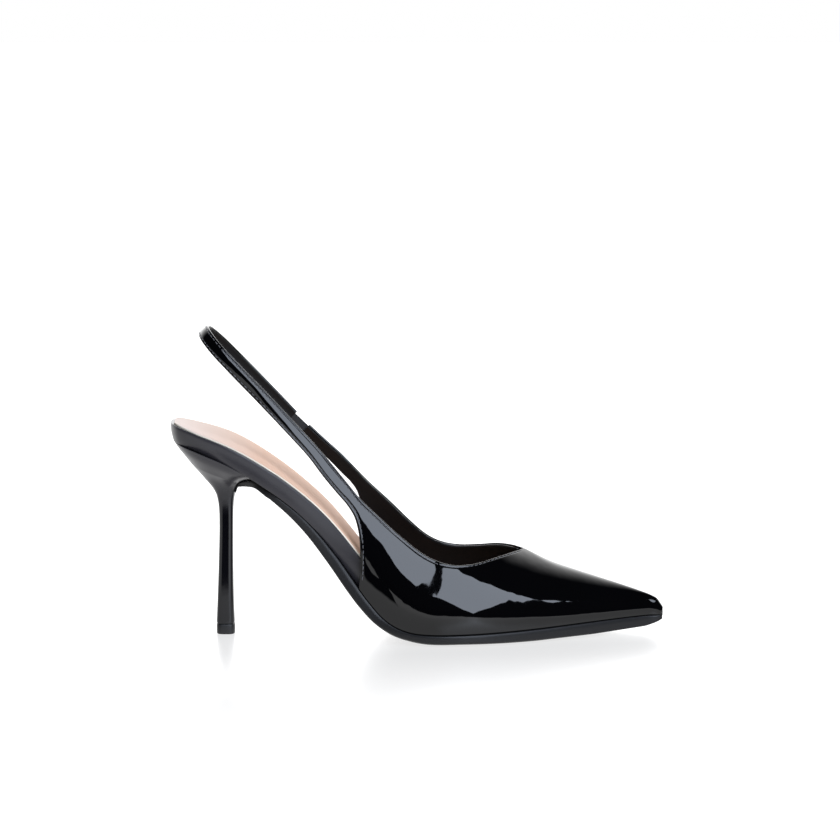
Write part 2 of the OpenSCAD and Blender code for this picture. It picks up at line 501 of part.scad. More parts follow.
module stem_rod(r, low, high) translate([stem_x * kx, 0, low]) cylinder(r = r, h = high - low, $fn = 32);
tube_low = 14;
tube_top = 72;
tip_pin_r = 1.3;
module heel_core()
    color("#3a3a3c")
        difference() {
            loft(heel_rings(cover_t + 0.15));
            stem_rod(pin_d / 2 + 0.02, tube_low, tube_top);
            stem_rod(tip_pin_r + 0.02, 0, 12);
            peg(screw_x, 0, screw_r + 0.02, -15.2, 4);
            for (p = NAILS) peg(p.x, p.y, nail_r + 0.02, -9.6, 4);
        }
module heel_cover() color("#101012") sleeve(heel_rings(0), heel_rings(cover_t));
module heel_tube()
    color("#9aa0a6")
        difference() {
            stem_rod(pin_d / 2, tube_low + 0.1, tube_top - 0.1);
            stem_rod(pin_d / 2 - 0.6, tube_low, tube_top);
        }
module heel_screw()
    color("#b7babd")
        union() {
            peg(screw_x, 0, screw_r, -15, -1);
            peg(screw_x, 0, 3.5, -1.9, -1);
        }
module heel_nails()
    color("#b7babd")
        for (p = NAILS)
            union() {
                peg(p.x, p.y, nail_r, -9.5, -1);
                peg(p.x, p.y, 1.9, -1.6, -1);
            }
module heel_tip()
    color("#161617")
        difference() {
            translate([stem_x * kx, 0, 0]) linear_extrude(tip_h - 0.1)
                polygon([for (j = [0:ring_n - 1]) let (p = 360 * j / ring_n, c = cos(p), s = sin(p),
                    q = pow(pow(abs(c), 3.6) + pow(abs(s), 3.6), -1 / 3.6)) [-4.2 * q * c, 4.8 * q * s]]);
            stem_rod(tip_pin_r + 0.02, 1.4, 6);
        }
module heel_tip_pin() color("#9aa0a6") stem_rod(tip_pin_r, 1.5, 11.8);

// ---------- sling ----------
function band_point(line, half, t, v) = sized(along(line, t)) + across * (half * v);
function band_way(line, t) = unit(sized(along(line, min(t + 0.01, 1))) - sized(along(line, max(t - 0.01, 0))));
function band_out(line, t, way) = unit(cross(band_way(line, t), across)) * way;
// Room for the strap's end to swing past the end of the quarter
function relief(line, half, v) =
    let (d = (sized(line[0]) - sized(pivot)) * across + half * v)
    hinge_gap + abs(d) * tan(d < 0 ? fold_back : fold_forward);
function band(line, half, way, out, n, m, from = 0, to = 1, eased_root = true) =
    [for (i = [0:n]) let (t = mix(from, to, i / n)) [for (j = [0:m]) let (v = 2 * j / m - 1,
            h = half(t))
        band_point(line, h, t, v) + band_out(line, t, way) * out
        + (i == 0 && eased_root ? band_way(line, t) * relief(line, h, v) : [0, 0, 0])]];
sling_half = function(t) strap_w / 2;
tab_line = [for (p = TAB) [p.x, p.y, p.z]];
tab_half = function(t) along([for (p = TAB) [p[3], 0]], t)[0];
sling_n = 44;
module sling_strap()
    color("#101012")
        slab(band(SLING, sling_half, -1, 0.05, sling_n, 2), band(SLING, sling_half, -1, 0.05 + strap_t, sling_n, 2));
module sling_strap_lining()
    color("#1b1a1a")
        slab(band(SLING, sling_half, -1, -0.05 - lining_t, sling_n, 2), band(SLING, sling_half, -1, -0.05, sling_n, 2));
module sling_stitching() {
    side_half = function(t) strap_w / 2 - stitch_inset * 0.75;
    rows = band(SLING, side_half, -1, 0.11 + strap_t + thread_d / 2, sling_n, 2, 0.03, 0.985, false);
    outs = [for (i = [0:sling_n]) band_out(SLING, mix(0.03, 0.985, i / sling_n), -1)];
    color("#26262a")
        for (j = [0, 2])
            thread([for (r = rows) r[j]], outs);
}
module quarter_tab()
    color("#101012")
        slab(band(tab_line, tab_half, 1, 0.05 + strap_t, 8, 2), band(tab_line, tab_half, 1, 0.05, 8, 2));
module quarter_tab_lining()
    color("#1b1a1a")
        slab(band(tab_line, tab_half, 1, -0.05, 8, 2), band(tab_line, tab_half, 1, -0.05 - lining_t, 8, 2));
gore_line = [tab_line[3], SLING[len(SLING) - 1]];
gore_half = function(t) elastic_w / 2;
module elastic_gore()
    color("#141416")
        slab(band(gore_line, gore_half, 1, 0.5, 2, 2, 0.03, 0.95, false),
            band(gore_line, gore_half, 1, -0.5, 2, 2, 0.03, 0.95, false));
module gore_stitching() {
    rows = band(tab_line, function(t) tab_half(t) * 0.7, 1, 0.11 + strap_t + thread_d / 2, 3, 6, 0.86, 0.97, false);
    color("#26262a")
        for (i = [0, 3])
            thread(rows[i], [for (p = rows[i]) band_out(tab_line, 0.9, 1)]);
}

upper_outer();
upper_lining();
vamp_interlining();
toe_puff();
topline_tape_lateral();
topline_tape_medial();
topline_stitching();
quarter_stitching();
insole_board();
insole_wrap();
shank_board();
shank_steel();
shank_rivets();
bottom_filler();
sock();
heel_pad();
forefoot_pad();
outsole();
heel_core();
heel_cover();
heel_tube();
heel_screw();
heel_nails();
heel_tip();
heel_tip_pin();
quarter_tab();
quarter_tab_lining();
elastic_gore();
sling_strap();
sling_strap_lining();
sling_stitching();
gore_stitching();
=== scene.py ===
"""Looks of the slingback pump: smooth meshes, materials, floor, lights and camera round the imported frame."""

import math

import bmesh
import bpy
import numpy as np
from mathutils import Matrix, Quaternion, Vector


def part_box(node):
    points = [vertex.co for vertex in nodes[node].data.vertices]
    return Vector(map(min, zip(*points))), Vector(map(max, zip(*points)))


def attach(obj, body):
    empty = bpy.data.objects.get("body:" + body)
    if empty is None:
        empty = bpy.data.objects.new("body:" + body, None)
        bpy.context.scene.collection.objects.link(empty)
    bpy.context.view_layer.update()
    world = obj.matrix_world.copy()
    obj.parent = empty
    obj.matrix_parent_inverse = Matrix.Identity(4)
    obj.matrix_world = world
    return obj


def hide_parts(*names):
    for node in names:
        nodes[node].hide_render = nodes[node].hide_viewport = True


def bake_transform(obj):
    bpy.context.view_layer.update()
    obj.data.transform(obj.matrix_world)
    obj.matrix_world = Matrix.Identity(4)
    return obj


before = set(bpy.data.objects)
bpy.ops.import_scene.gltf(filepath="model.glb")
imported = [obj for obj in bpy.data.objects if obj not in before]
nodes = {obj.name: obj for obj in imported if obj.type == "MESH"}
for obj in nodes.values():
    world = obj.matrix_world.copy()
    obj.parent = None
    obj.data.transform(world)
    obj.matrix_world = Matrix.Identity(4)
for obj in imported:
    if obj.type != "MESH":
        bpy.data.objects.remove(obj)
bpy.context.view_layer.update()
MM = 0.001

# ---------- proportions of the shoe, in millimetres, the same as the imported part's ----------
# Lower edge of the wrapped insole and of the upper: x, z
FEATHER = np.array([[-111.5, 89.6], [-98.8, 86.1], [-84, 79.9], [-71, 71.9], [-57, 61.6], [-46.5, 51.3],
                    [-36.5, 38.9], [-27.6, 26.4], [-21.9, 18.8], [-15.5, 11.8], [-8, 7.3], [1, 5.4], [20, 5.3],
                    [50, 6], [83, 7.4], [105, 7.9], [112, 7.6]])
# Upper rim of the wrapped insole: x, z
RIM = np.array([[-111.5, 98], [-101, 94.7], [-84, 88.5], [-67, 78.7], [-53, 68.3], [-40, 56.2],
                [-26, 39], [-18, 27.8], [-8, 17], [3, 11], [14, 9.2], [30, 9.2], [60, 10.2], [90, 11.4],
                [112, 11]])
# Outline of the bottom seen from above: x, outer side, inner side
PLAN = np.array([[-111.5, -2, 2], [-110.6, -8, 7.6], [-107, -14.8, 14], [-100, -20.3, 19.2],
                 [-88, -24.3, 23], [-75, -25, 23], [-60, -23.9, 20.6], [-45, -23, 18.6],
                 [-33, -23.8, 18.8], [-20, -27.2, 22.2], [-8, -31.4, 27.4], [5, -34.6, 32.6],
                 [18, -35.1, 35.1], [32, -32.4, 34.4], [48, -26.9, 29.6], [65, -19.7, 23],
                 [82, -11.6, 16.7], [97, -3.9, 11], [106, 0.4, 7.8], [111.2, 1.9, 6.1], [113, 3.5, 4.5]])
# Sections of the last: x, crest y, crest z, wall rise, wall bulge, crest width, crest drop
LAST = np.array([[-44, 0, 110, 0.36, 4.5, 0.8, 0.02], [-26, 0, 92, 0.34, 4.5, 0.74, 0.02],
                 [0, 0, 57, 0.34, 5, 0.72, 0.04], [20, 1, 50, 0.36, 5.6, 0.68, 0.05],
                 [35, 1.6, 44.5, 0.36, 5.8, 0.62, 0.08], [49, 2.4, 38.8, 0.37, 5.8, 0.57, 0.12],
                 [60, 3.1, 34.3, 0.38, 5, 0.55, 0.12], [83, 4.2, 26.1, 0.4, 3.6, 0.56, 0.1],
                 [101, 4.2, 19.5, 0.44, 2, 0.58, 0.06], [109.4, 4.1, 15.7, 0.5, 1, 0.6, 0.04],
                 [111.6, 4.1, 12.9, 0.5, 0.5, 0.6, 0.02], [113, 4, 10.5, 0.5, 0.2, 0.6, 0]])
# Toplines from the sling to the throat, and rear edges of the quarters down to the feather line: x, z
TOP = {-1: np.array([[-31, 72.2], [-25.2, 65.2], [-17, 57.4], [-7.9, 49.2], [1.2, 42], [9, 38], [17, 36.2],
                     [26, 36.2], [35, 37.6], [43, 38.6], [49, 38.8]]),
       1: np.array([[-29.6, 75.6], [-22.5, 68.1], [-11.5, 57.7], [-2, 48.2], [5, 42], [12, 38.3],
                    [20, 36.9], [29, 37.8], [37, 39.6], [44, 40], [49, 38.8]])}
REAR = {-1: np.array([[-35.7, 67.8], [-31.4, 62.7], [-28.2, 57.2], [-26.4, 49.8], [-25.8, 41], [-26, 33],
                      [-26.6, 25.1]]),
        1: np.array([[-34.4, 71.3], [-30.4, 67.1], [-27.4, 61.9], [-25.8, 53.2], [-25.6, 43], [-26, 33],
                     [-26.6, 25.1]])}
# Middle line of the sling from the outer root round the heel to the inner end: x, y, z
SLING = np.array([[-33.2, -21.7, 70], [-39, -20.6, 77.4], [-47, -19.2, 86.9], [-57, -17.8, 97.6],
                  [-69, -17.1, 110.3], [-81, -16.9, 122.7], [-89.6, -14.4, 131.5], [-94.6, -8.2, 136.8],
                  [-96.4, 0, 138.9], [-94.6, 8.2, 137], [-89.6, 14.4, 131.6], [-81, 16.9, 122.5],
                  [-69, 17.3, 110], [-57.4, 17.9, 97.6]])
# Middle line of the inner tab from the quarter to the elastic: x, y, z, half width
TAB = np.array([[-31.9, 16.4, 73.5, 3.1], [-37.5, 16.8, 79, 3.3], [-44.5, 17.3, 85.4, 3.3],
                [-51.4, 17.7, 91.9, 3.2]])
ACROSS = np.array([0.719, 0, 0.695])
# Outsole: path of its top along the lip on the heel breast, half widths of the lip, thickness, inset of its edge
LIP = np.array([[-82.5, 65.6], [-81.5, 69.2], [-77.6, 71.5], [-72.4, 71.7], [-66, 68.1]])
LIP_W = np.array([[-82.5, 4.8], [-81.5, 7.6], [-77.6, 12.6], [-72.4, 18], [-66, 21.2]])
SOLE_T = np.array([[-83, 0.4], [-81.5, 1.7], [-77, 2.7], [-66, 2.9], [-50, 4.2], [-37, 5.2], [-26, 5.5], [-13, 5], [-4, 5.1],
                   [5, 5.6], [20, 5.6], [50, 6.1], [62, 5.8], [83, 5.4], [100, 4.9], [106, 4.3], [113, 1.6]])
SOLE_IN = np.array([[-84, 2.6], [-60, 2.2], [-40, 1.2], [-20, 0.1], [0, -0.5], [60, -0.6], [112, -0.1]])
WRAP_IN = np.array([[-112, 0], [-55, 0], [-30, 2.5], [-15, 2.7]])
# Heel sections from the seat down: back x z, front x z, half width, back and front roundness
HEEL = np.array([[-110.9, 89.1, -72.9, 72.5, 24.4, 2, 6], [-108.4, 85.7, -76.8, 72.1, 21.4, 2.1, 5],
                 [-103.3, 79.6, -80.3, 70.9, 15.4, 2.2, 4], [-97.6, 72.9, -82.1, 68.8, 9.6, 2.4, 3.6],
                 [-92.8, 66.9, -82.9, 65.2, 6.2, 2.8, 3.4], [-90.9, 61.5, -83.6, 60.5, 4.7, 3.2, 3.4],
                 [-90.3, 52.4, -83.9, 52.4, 4, 3.6, 3.6], [-90.7, 34, -84, 34, 4.1, 3.6, 3.6],
                 [-91.4, 16, -83.8, 16, 4.4, 3.6, 3.6], [-91.9, 4.9, -83.4, 4.9, 4.7, 3.6, 3.6]])
# Rows of the upper end on the rear edge, then on the feather line up to the throat, then up to the toe
REAR_END, THROAT, TIP_ROW = 9, 20, 32
CORNER_X, THROAT_X, TOE_X, TOE_Y = -26.6, 49, 112.5, 4
TOE_LOW, TOE_HIGH = 7.6, 10.9


# ---------- curves ----------
def slopes(rows):
    i = np.arange(len(rows))
    low = rows[np.maximum(i - 1, 0)]
    high = rows[np.minimum(i + 1, len(rows) - 1)]
    return (high - low) / (high[:, :1] - low[:, :1])


def at(rows, x):
    """The row of a table at x, on a smooth curve through its rows."""
    x = np.asarray(x, float)
    i = np.clip(np.searchsorted(rows[:, 0], x, side="right") - 1, 0, len(rows) - 2)
    a, b, m = rows[i], rows[i + 1], slopes(rows)
    h = b[..., :1] - a[..., :1]
    t = np.clip((x[..., None] - a[..., :1]) / h, 0, 1)
    v = 1 - t
    return a * (1 + 2 * t) * v * v + b * (3 - 2 * t) * t * t + m[i] * h * t * v * v - m[i + 1] * h * t * t * v


def along(points, t):
    """A point on a smooth curve through a list of points, at t from 0 to 1."""
    full = np.vstack([2 * points[0] - points[1], points, 2 * points[-1] - points[-2]])
    s = np.clip(np.asarray(t, float), 0, 1) * (len(points) - 1)
    i = np.minimum(np.floor(s).astype(int), len(points) - 2)
    f = (s - i)[..., None]
    a, b, c, d = full[i], full[i + 1], full[i + 2], full[i + 3]
    return (2 * b + (c - a) * f + (2 * a - 5 * b + 4 * c - d) * f * f + (3 * b - a - 3 * c + d) * f**3) / 2


def mix(a, b, t):
    return a + (b - a) * t


def smooth(x, low=0.0, high=1.0):
    t = np.clip((np.asarray(x, float) - low) / (high - low), 0, 1)
    return t * t * (3 - 2 * t)


def unit(v):
    return v / np.maximum(np.linalg.norm(v, axis=-1, keepdims=True), 1e-9)


def lengths(points):
    """Distance along a line of points, from its first."""
    return np.concatenate([[0], np.cumsum(np.linalg.norm(np.diff(points, axis=0), axis=1))])


def feather(x):
    return at(FEATHER, x)[..., 1]


def rim(x):
    return at(RIM, x)[..., 1]


def steep(x):
    """Vertical share of a thickness measured square to the feather line."""
    return np.sqrt(1 + (feather(x + 0.5) - feather(x - 0.5)) ** 2)


def edge(x, side):
    return at(PLAN, x)[..., 1 if side < 0 else 2]


# ---------- surface of the last ----------
def last(x, t, side):
    """The last's surface at x, t from the feather line to the crest."""
    r = at(LAST, x)
    foot_y, foot_z = edge(x, side), feather(x)
    h, w, s = r[..., 2] - foot_z, np.abs(foot_y - r[..., 1]), 1 - t
    k0, k1, k2, k3 = s**3, 3 * s * s * t, 3 * s * t * t, t**3
    y = k0 * foot_y + k1 * (foot_y + side * r[..., 4]) + k2 * (r[..., 1] + side * r[..., 5] * w) + k3 * r[..., 1]
    z = k0 * foot_z + k1 * (foot_z + r[..., 3] * h) + k2 * (r[..., 2] - r[..., 6] * h) + k3 * r[..., 2]
    return np.stack([x + 0 * y, y, z], -1)


def height_at(x, z, side):
    """Where the last reaches a height at x."""
    low, high = np.zeros_like(x, float), np.ones_like(x, float)
    for _ in range(24):
        m = (low + high) / 2
        below = last(x, m, side)[..., 2] < z
        low, high = np.where(below, m, low), np.where(below, high, m)
    return (low + high) / 2


def row_ends(u, side):
    """Lower and upper end of row u of the upper, each as x and t on the last."""
    u = np.asarray(u, float)
    rear, top = along(REAR[side], u / REAR_END), along(TOP[side], u / THROAT)
    toe_x = mix(THROAT_X, TOE_X, np.sin(np.pi / 2 * np.clip((u - THROAT) / (TIP_ROW - THROAT), 0, 1)))
    wall_x = mix(CORNER_X, THROAT_X, (u - REAR_END) / (THROAT - REAR_END))
    low_x = np.where(u <= REAR_END, rear[..., 0], np.where(u <= THROAT, wall_x, toe_x))
    low_t = np.where(u <= REAR_END, height_at(rear[..., 0], rear[..., 1], side), 0)
    top_x = np.where(u <= THROAT, top[..., 0], toe_x)
    top_t = np.where(u <= THROAT, height_at(top[..., 0], top[..., 1], side), 1)
    return low_x, low_t, top_x, top_t


def wall_point(u, f, side):
    """Surface of the upper at row u, f from the lower edge to the topline or crest."""
    low_x, low_t, top_x, top_t = row_ends(u, side)
    p = last(mix(low_x, top_x, f), mix(low_t, top_t, f), side)
    tip = np.stack(np.broadcast_arrays(TOE_X, TOE_Y, mix(TOE_LOW, TOE_HIGH, f)), -1)
    return np.where((np.asarray(u) >= TIP_ROW - 1e-9)[..., None], tip, p)


# ---------- meshes ----------
def smooth_mesh(name, points, faces, merge=2e-6):
    """A smooth-shaded object from points in millimetres; loose points go and equal points merge."""
    mesh = bpy.data.meshes.new(name)
    mesh.from_pydata([tuple(p) for p in np.asarray(points) * MM], [], [tuple(map(int, f)) for f in faces])
    b = bmesh.new()
    b.from_mesh(mesh)
    bmesh.ops.delete(b, geom=[v for v in b.verts if not v.link_faces], context="VERTS")
    bmesh.ops.remove_doubles(b, verts=b.verts, dist=merge)
    bmesh.ops.dissolve_degenerate(b, edges=b.edges, dist=merge / 4)
    bmesh.ops.recalc_face_normals(b, faces=b.faces)
    b.to_mesh(mesh)
    b.free()
    mesh.shade_smooth()
    mesh.set_sharp_from_angle(angle=math.radians(50))
    piece = bpy.data.objects.new(name, mesh)
    bpy.context.scene.collection.objects.link(piece)
    return piece


def tube_faces(rows, ring, start=0, skip=None):
    """Quads between neighbouring rings of points; skip(row, place) leaves one out."""
    faces = []
    for i in range(rows - 1):
        for j in range(ring):
            if skip and skip(i, j):
                continue
            k = (j + 1) % ring
            a, b = start + i * ring, start + (i + 1) * ring
            faces.append((a + j, a + k, b + k, b + j))
    return faces


def cap_faces(first, cols, ring):
    """Quads across a thin profile whose outer columns 0..cols-1 face its inner columns, and fans over its edges."""
    edge_n = (ring - 2 * cols) // 2
    outer = [first + j for j in range(cols)]
    inner = [first + 2 * cols + edge_n - 1 - j for j in range(cols)]
    faces = [(outer[j], outer[j + 1], inner[j + 1], inner[j]) for j in range(cols - 1)]
    faces.append(tuple([outer[-1]] + [first + cols + k for k in range(edge_n)] + [inner[-1]]))
    faces.append(tuple([inner[0]] + [first + 2 * cols + edge_n + k for k in range(edge_n)] + [outer[0]]))
    return faces


# ---------- sheets of leather with rounded edges ----------
EDGE_N = 7
COLS = 57
CREST_COLS = 15
EDGE_CROWDING = 0.62
PATENT = (0.0, 1.25)
LINING = (1.25, 1.95)


def column_places(length, low_cut, top_cut):
    """Distances along a row of its columns, closer together near both edges."""
    t = np.linspace(0, 1, COLS)
    return mix(low_cut, length - top_cut, t - EDGE_CROWDING * np.sin(2 * np.pi * t) / (2 * np.pi))


def row_points(place, low_cut, top_cut):
    """Points of one row at its column places; place(f) gives the surface for f from 0 to 1."""
    f = np.linspace(0, 1, 161)
    s = lengths(place(f))
    return place(np.interp(column_places(s[-1], low_cut, top_cut), s, f))


def edge_arc(p, n, beside, near, far):
    """Half-round edge of each row from its near face to its far face, bulging away from the neighbour column."""
    b = p - beside
    b = unit(b - n * np.sum(b * n, -1, keepdims=True))
    r, c = (far - near) / 2, p - n * (near + far) / 2
    angles = [math.pi * (k + 1) / (EDGE_N + 1) for k in range(EDGE_N)]
    return np.stack([c + n * r * math.cos(a) + b * r * math.sin(a) for a in angles], 1)


def profiles(p, n, near, far, low_edge=None, top_edge=None):
    """Closed profile of each row: near face, top edge, far face, low edge."""
    if top_edge is None:
        top_edge = edge_arc(p[:, -1], n[:, -1], p[:, -2], near, far)
    if low_edge is None:
        low_edge = edge_arc(p[:, 0], n[:, 0], p[:, 1], near, far)
    return np.concatenate([p - n * near, top_edge, (p - n * far)[:, ::-1], low_edge[:, ::-1]], 1)


def sheet_normals(p, side):
    """Outward normals of a grid of rows and columns."""
    return unit(np.cross(np.gradient(p, axis=0), np.gradient(p, axis=1))) * -side


def band(line, half, t, v, way, lift, lean=0.0):
    """Points of a band round a middle line: t along it, v across it from -1 to 1, lifted and leaning in."""
    c = along(line, t)
    d = unit(along(line, t + 0.01) - along(line, t - 0.01))
    out = unit(np.cross(d, ACROSS)) * way
    across = ACROSS * math.cos(lean) - out * math.sin(lean)
    return c + across * (half * v)[..., None] + out * np.asarray(lift)[..., None]


# ---------- upper ----------
U_ROWS = np.concatenate([np.linspace(0, REAR_END, 64), np.linspace(REAR_END, THROAT, 90)[1:],
                         np.linspace(THROAT, TIP_ROW, 91)[1:]])
THROAT_I = int(np.argmin(np.abs(U_ROWS - THROAT)))
TAB_ROWS = 40
STITCH_INSET = 1.6
STRAP_HALF = 3.2
STRAP_STITCH = 1.2
STRAP_LEAN = math.radians(20)
ROOT_TURN = 30
GROOVE = 0.16
CROWN = 0.6


def wall_grid(side, low_cut, top_cut):
    """Rows of the upper's surface on one side, from the sling's root to the toe tip."""
    rows = []
    for u in U_ROWS:
        cut = top_cut * float(1 - smooth(u, THROAT - 1.2, THROAT))
        rows.append(row_points(lambda f, u=u: wall_point(u, f, side), low_cut(u), cut))
    return np.array(rows)


def round_crest(grids):
    """Rounds the ridge along the vamp's crest, where the two sides meet."""
    u = U_ROWS[THROAT_I:, None]
    a, b = grids[-1][THROAT_I:], grids[1][THROAT_I:]
    line = np.concatenate([a, b[:, ::-1][:, 1:]], 1)
    across = np.abs(np.arange(line.shape[1]) - (COLS - 1))
    weight = np.exp(-((across / CREST_COLS) ** 2))[None] * smooth(u, THROAT, THROAT + 2.0)
    weight = weight * (1 - smooth(u, THROAT + 3, TIP_ROW - 1))
    for _ in range(260):
        line[:, 1:-1] += 0.5 * weight[:, 1:-1, None] * ((line[:, :-2] + line[:, 2:]) / 2 - line[:, 1:-1])
    grids[-1][THROAT_I:] = line[:, :COLS]
    grids[1][THROAT_I:] = line[:, COLS - 1:][:, ::-1]


def tab_grid(side, root, root_step, line, half, length, way, lift, rows, cuts):
    """Rows that carry a quarter on into a strap: the quarter's own direction first, then the strap's line."""
    t = np.linspace(0, 1, rows + 1)[1:]
    turn = min(ROOT_TURN, length / 2)
    out = []
    width = lengths(root)[-1] + sum(cuts)
    for one in t:
        h = half(one)
        s = column_places(2 * h, cuts[0] * 2 * h / width, cuts[1] * 2 * h / width)
        v = s / h - 1
        crown = lift + CROWN * (1 - v * v) * smooth(one * length, 2, 25)
        lean = STRAP_LEAN * (1 - float(smooth(one * length, 20, 80)))
        strap = band(line, np.full_like(v, h), np.full_like(v, one), v, way, crown, lean)
        own = root + root_step * one * length
        out.append(mix(own, strap, smooth(one * length, 0, turn)))
    return np.array(out)


def stitch_inset(u):
    """Distance of the stitching from an edge: the strap's own at the root, wider on the quarter."""
    return mix(STRAP_STITCH, STITCH_INSET, smooth(u, 0, 3))


def leather_relief(p, n, side):
    """Groove along the stitching and faint hollows of stretched patent leather."""
    u = U_ROWS[:, None] if len(p) == len(U_ROWS) else np.concatenate([np.zeros(len(p) - len(U_ROWS)), U_ROWS])[:, None]
    s = np.array([lengths(r) for r in p])
    from_top = s[:, -1:] - s + 0.6
    depth = GROOVE * np.exp(-(((from_top - stitch_inset(u)) / 0.4) ** 2)) * (1 - smooth(u, THROAT - 0.8, THROAT - 0.2))
    depth += GROOVE * np.exp(-(((s + 0.6 - stitch_inset(u)) / 0.4) ** 2)) * (1 - smooth(u, REAR_END - 0.6, REAR_END))
    x, y, z = p[..., 0], p[..., 1], p[..., 2]
    wave = np.sin(x / 7.1 + z / 9.0 + 1.3 * side) * np.sin(z / 6.3 - y / 11.0) + 0.6 * np.sin(x / 4.3 - z / 5.1)
    calm = smooth(from_top, 1, 9) * smooth(s, 1, 9) * (1 - smooth(x, 50, 70))
    return p - n * (depth + 0.05 * wave * calm)[..., None]


def margin_edge(p, n, near, far, side):
    """Lower edge of each vamp row: the leather turns in under the insole and ends there."""
    foot = np.array([wall_point(np.array([u]), np.array([0.0]), side)[0] for u in U_ROWS])
    x = foot[:, 0]
    width = np.minimum(5, 0.35 * (edge(x, 1) - edge(x, -1))) * (1 - smooth(U_ROWS, TIP_ROW - 1, TIP_ROW))
    start, end = p[:, 0] - n[:, 0] * near, p[:, 0] - n[:, 0] * far
    inward = np.stack([0 * x, np.full_like(x, -side), 0 * x], -1)
    up = np.stack([0 * x, 0 * x, np.ones_like(x)], -1)
    turn = foot + inward * np.minimum(width, 1.6)[:, None]
    corner = [mix(mix(start, foot, t), mix(foot, turn, t), t) for t in (0.3, 0.6, 0.85)]
    tail = foot + inward * width[:, None]
    thick = 0.85
    inner = foot + inward * np.minimum(width, 1.5)[:, None] + up * thick
    return np.stack(corner + [tail, tail + up * thick, inner, mix(inner, end, 0.5)], 1)


def upper_piece(name, span, top_trim, low_trim, with_margin, last_i):
    """Both sides of one layer of the upper as one closed shell, joined along the crest and at the toe tip."""
    near, far = span
    r = (far - near) / 2

    def low_cut(u):
        return r + low_trim * (1 + 6 * float(smooth(u, REAR_END, REAR_END + 1)))

    grids = {side: wall_grid(side, low_cut, r + top_trim) for side in (-1, 1)}
    round_crest(grids)
    points, faces, roots = [], [], {}
    for side in (-1, 1):
        p = grids[side]
        n = sheet_normals(p, side)
        crest = np.cross(np.gradient(p[THROAT_I:, -1], axis=0), [0, 1, 0])
        n[THROAT_I:, -1] = unit(crest * np.sign(crest[:, 2:]))
        if side > 0:
            step = unit(p[0] - p[1])
            add = tab_grid(side, p[0], step, TAB[:, :3], lambda t: float(along(TAB[:, 3:], t)[0]),
                           TAB_LENGTH, 1, 0.95 * (near == 0), TAB_ROWS, (r + low_trim, r + top_trim))[::-1]
            p = np.concatenate([add, p])
            n = np.concatenate([sheet_normals(p[:TAB_ROWS + 6], side)[:TAB_ROWS], n])
        roots[side] = (p[0], p[0] - p[1])
        p = leather_relief(p, n, side) if near == 0 else p
        extra = len(p) - len(U_ROWS)
        low = edge_arc(p[:, 0], n[:, 0], p[:, 1], near, far)
        if with_margin:
            turned = np.concatenate([low[:extra], margin_edge(p[extra:], n[extra:], near, far, side)])
            share = np.concatenate([np.zeros(extra), smooth(U_ROWS, REAR_END + 1, REAR_END + 1.6)])
            low = mix(low, turned, share[:, None, None])
        top = edge_arc(p[:, -1], n[:, -1], p[:, -2], near, far)
        near_throat = np.concatenate([np.zeros(extra), smooth(U_ROWS, THROAT - 1.5, THROAT)])[:, None, None]
        back = p[:, -1] + np.array([1.0, 0, 0])
        top = mix(top, edge_arc(p[:, -1], n[:, -1], back, near, far), near_throat)
        loops = profiles(p, n, near, far, low, top)[:last_i + extra]
        ring = loops.shape[1]
        start = len(points)
        points.extend(loops.reshape(-1, 3))
        vamp = THROAT_I + extra
        made = tube_faces(len(loops), ring, start, lambda i, j: i >= vamp and COLS - 1 <= j < COLS + EDGE_N)
        made += cap_faces(start, COLS, ring)
        if last_i < len(U_ROWS):
            made += [f for f in cap_faces(start + (len(loops) - 1) * ring, COLS, ring)[:COLS - 1]]
        faces += made if side > 0 else [f[::-1] for f in made]
    return smooth_mesh(name, points, faces), roots


TAB_LENGTH = float(lengths(TAB[:, :3])[-1])
SLING_LENGTH = float(lengths(along(SLING, np.linspace(0, 1, 400)))[-1])


def sling_piece(name, span, trim, root):
    """The sling strap, which carries on from the outer quarter's own edge profile."""
    near, far = span
    r = (far - near) / 2
    first, step = root
    rows = 230
    p = tab_grid(-1, first, unit(step), SLING, lambda t: STRAP_HALF, SLING_LENGTH, -1, 0.95 if near == 0 else 0.95,
                 rows, (r + trim, r + trim))
    p = np.concatenate([first[None] - step, first[None], p])
    n = -unit(np.cross(np.gradient(p, axis=0), np.gradient(p, axis=1)))
    if near == 0:
        s = np.array([lengths(q) for q in p]) + r
        for d in (s, s[:, -1:] + r - s):
            p = p - n * (GROOVE * np.exp(-(((d - STRAP_STITCH) / 0.4) ** 2)))[..., None]
    p, n = p[1:], n[1:]
    loops = profiles(p, n, near, far)
    ring = loops.shape[1]
    faces = tube_faces(len(loops), ring) + cap_faces(0, COLS, ring)
    faces += [f[::-1] for f in cap_faces((len(loops) - 1) * ring, COLS, ring)]
    return smooth_mesh(name, loops.reshape(-1, 3), faces), p, n


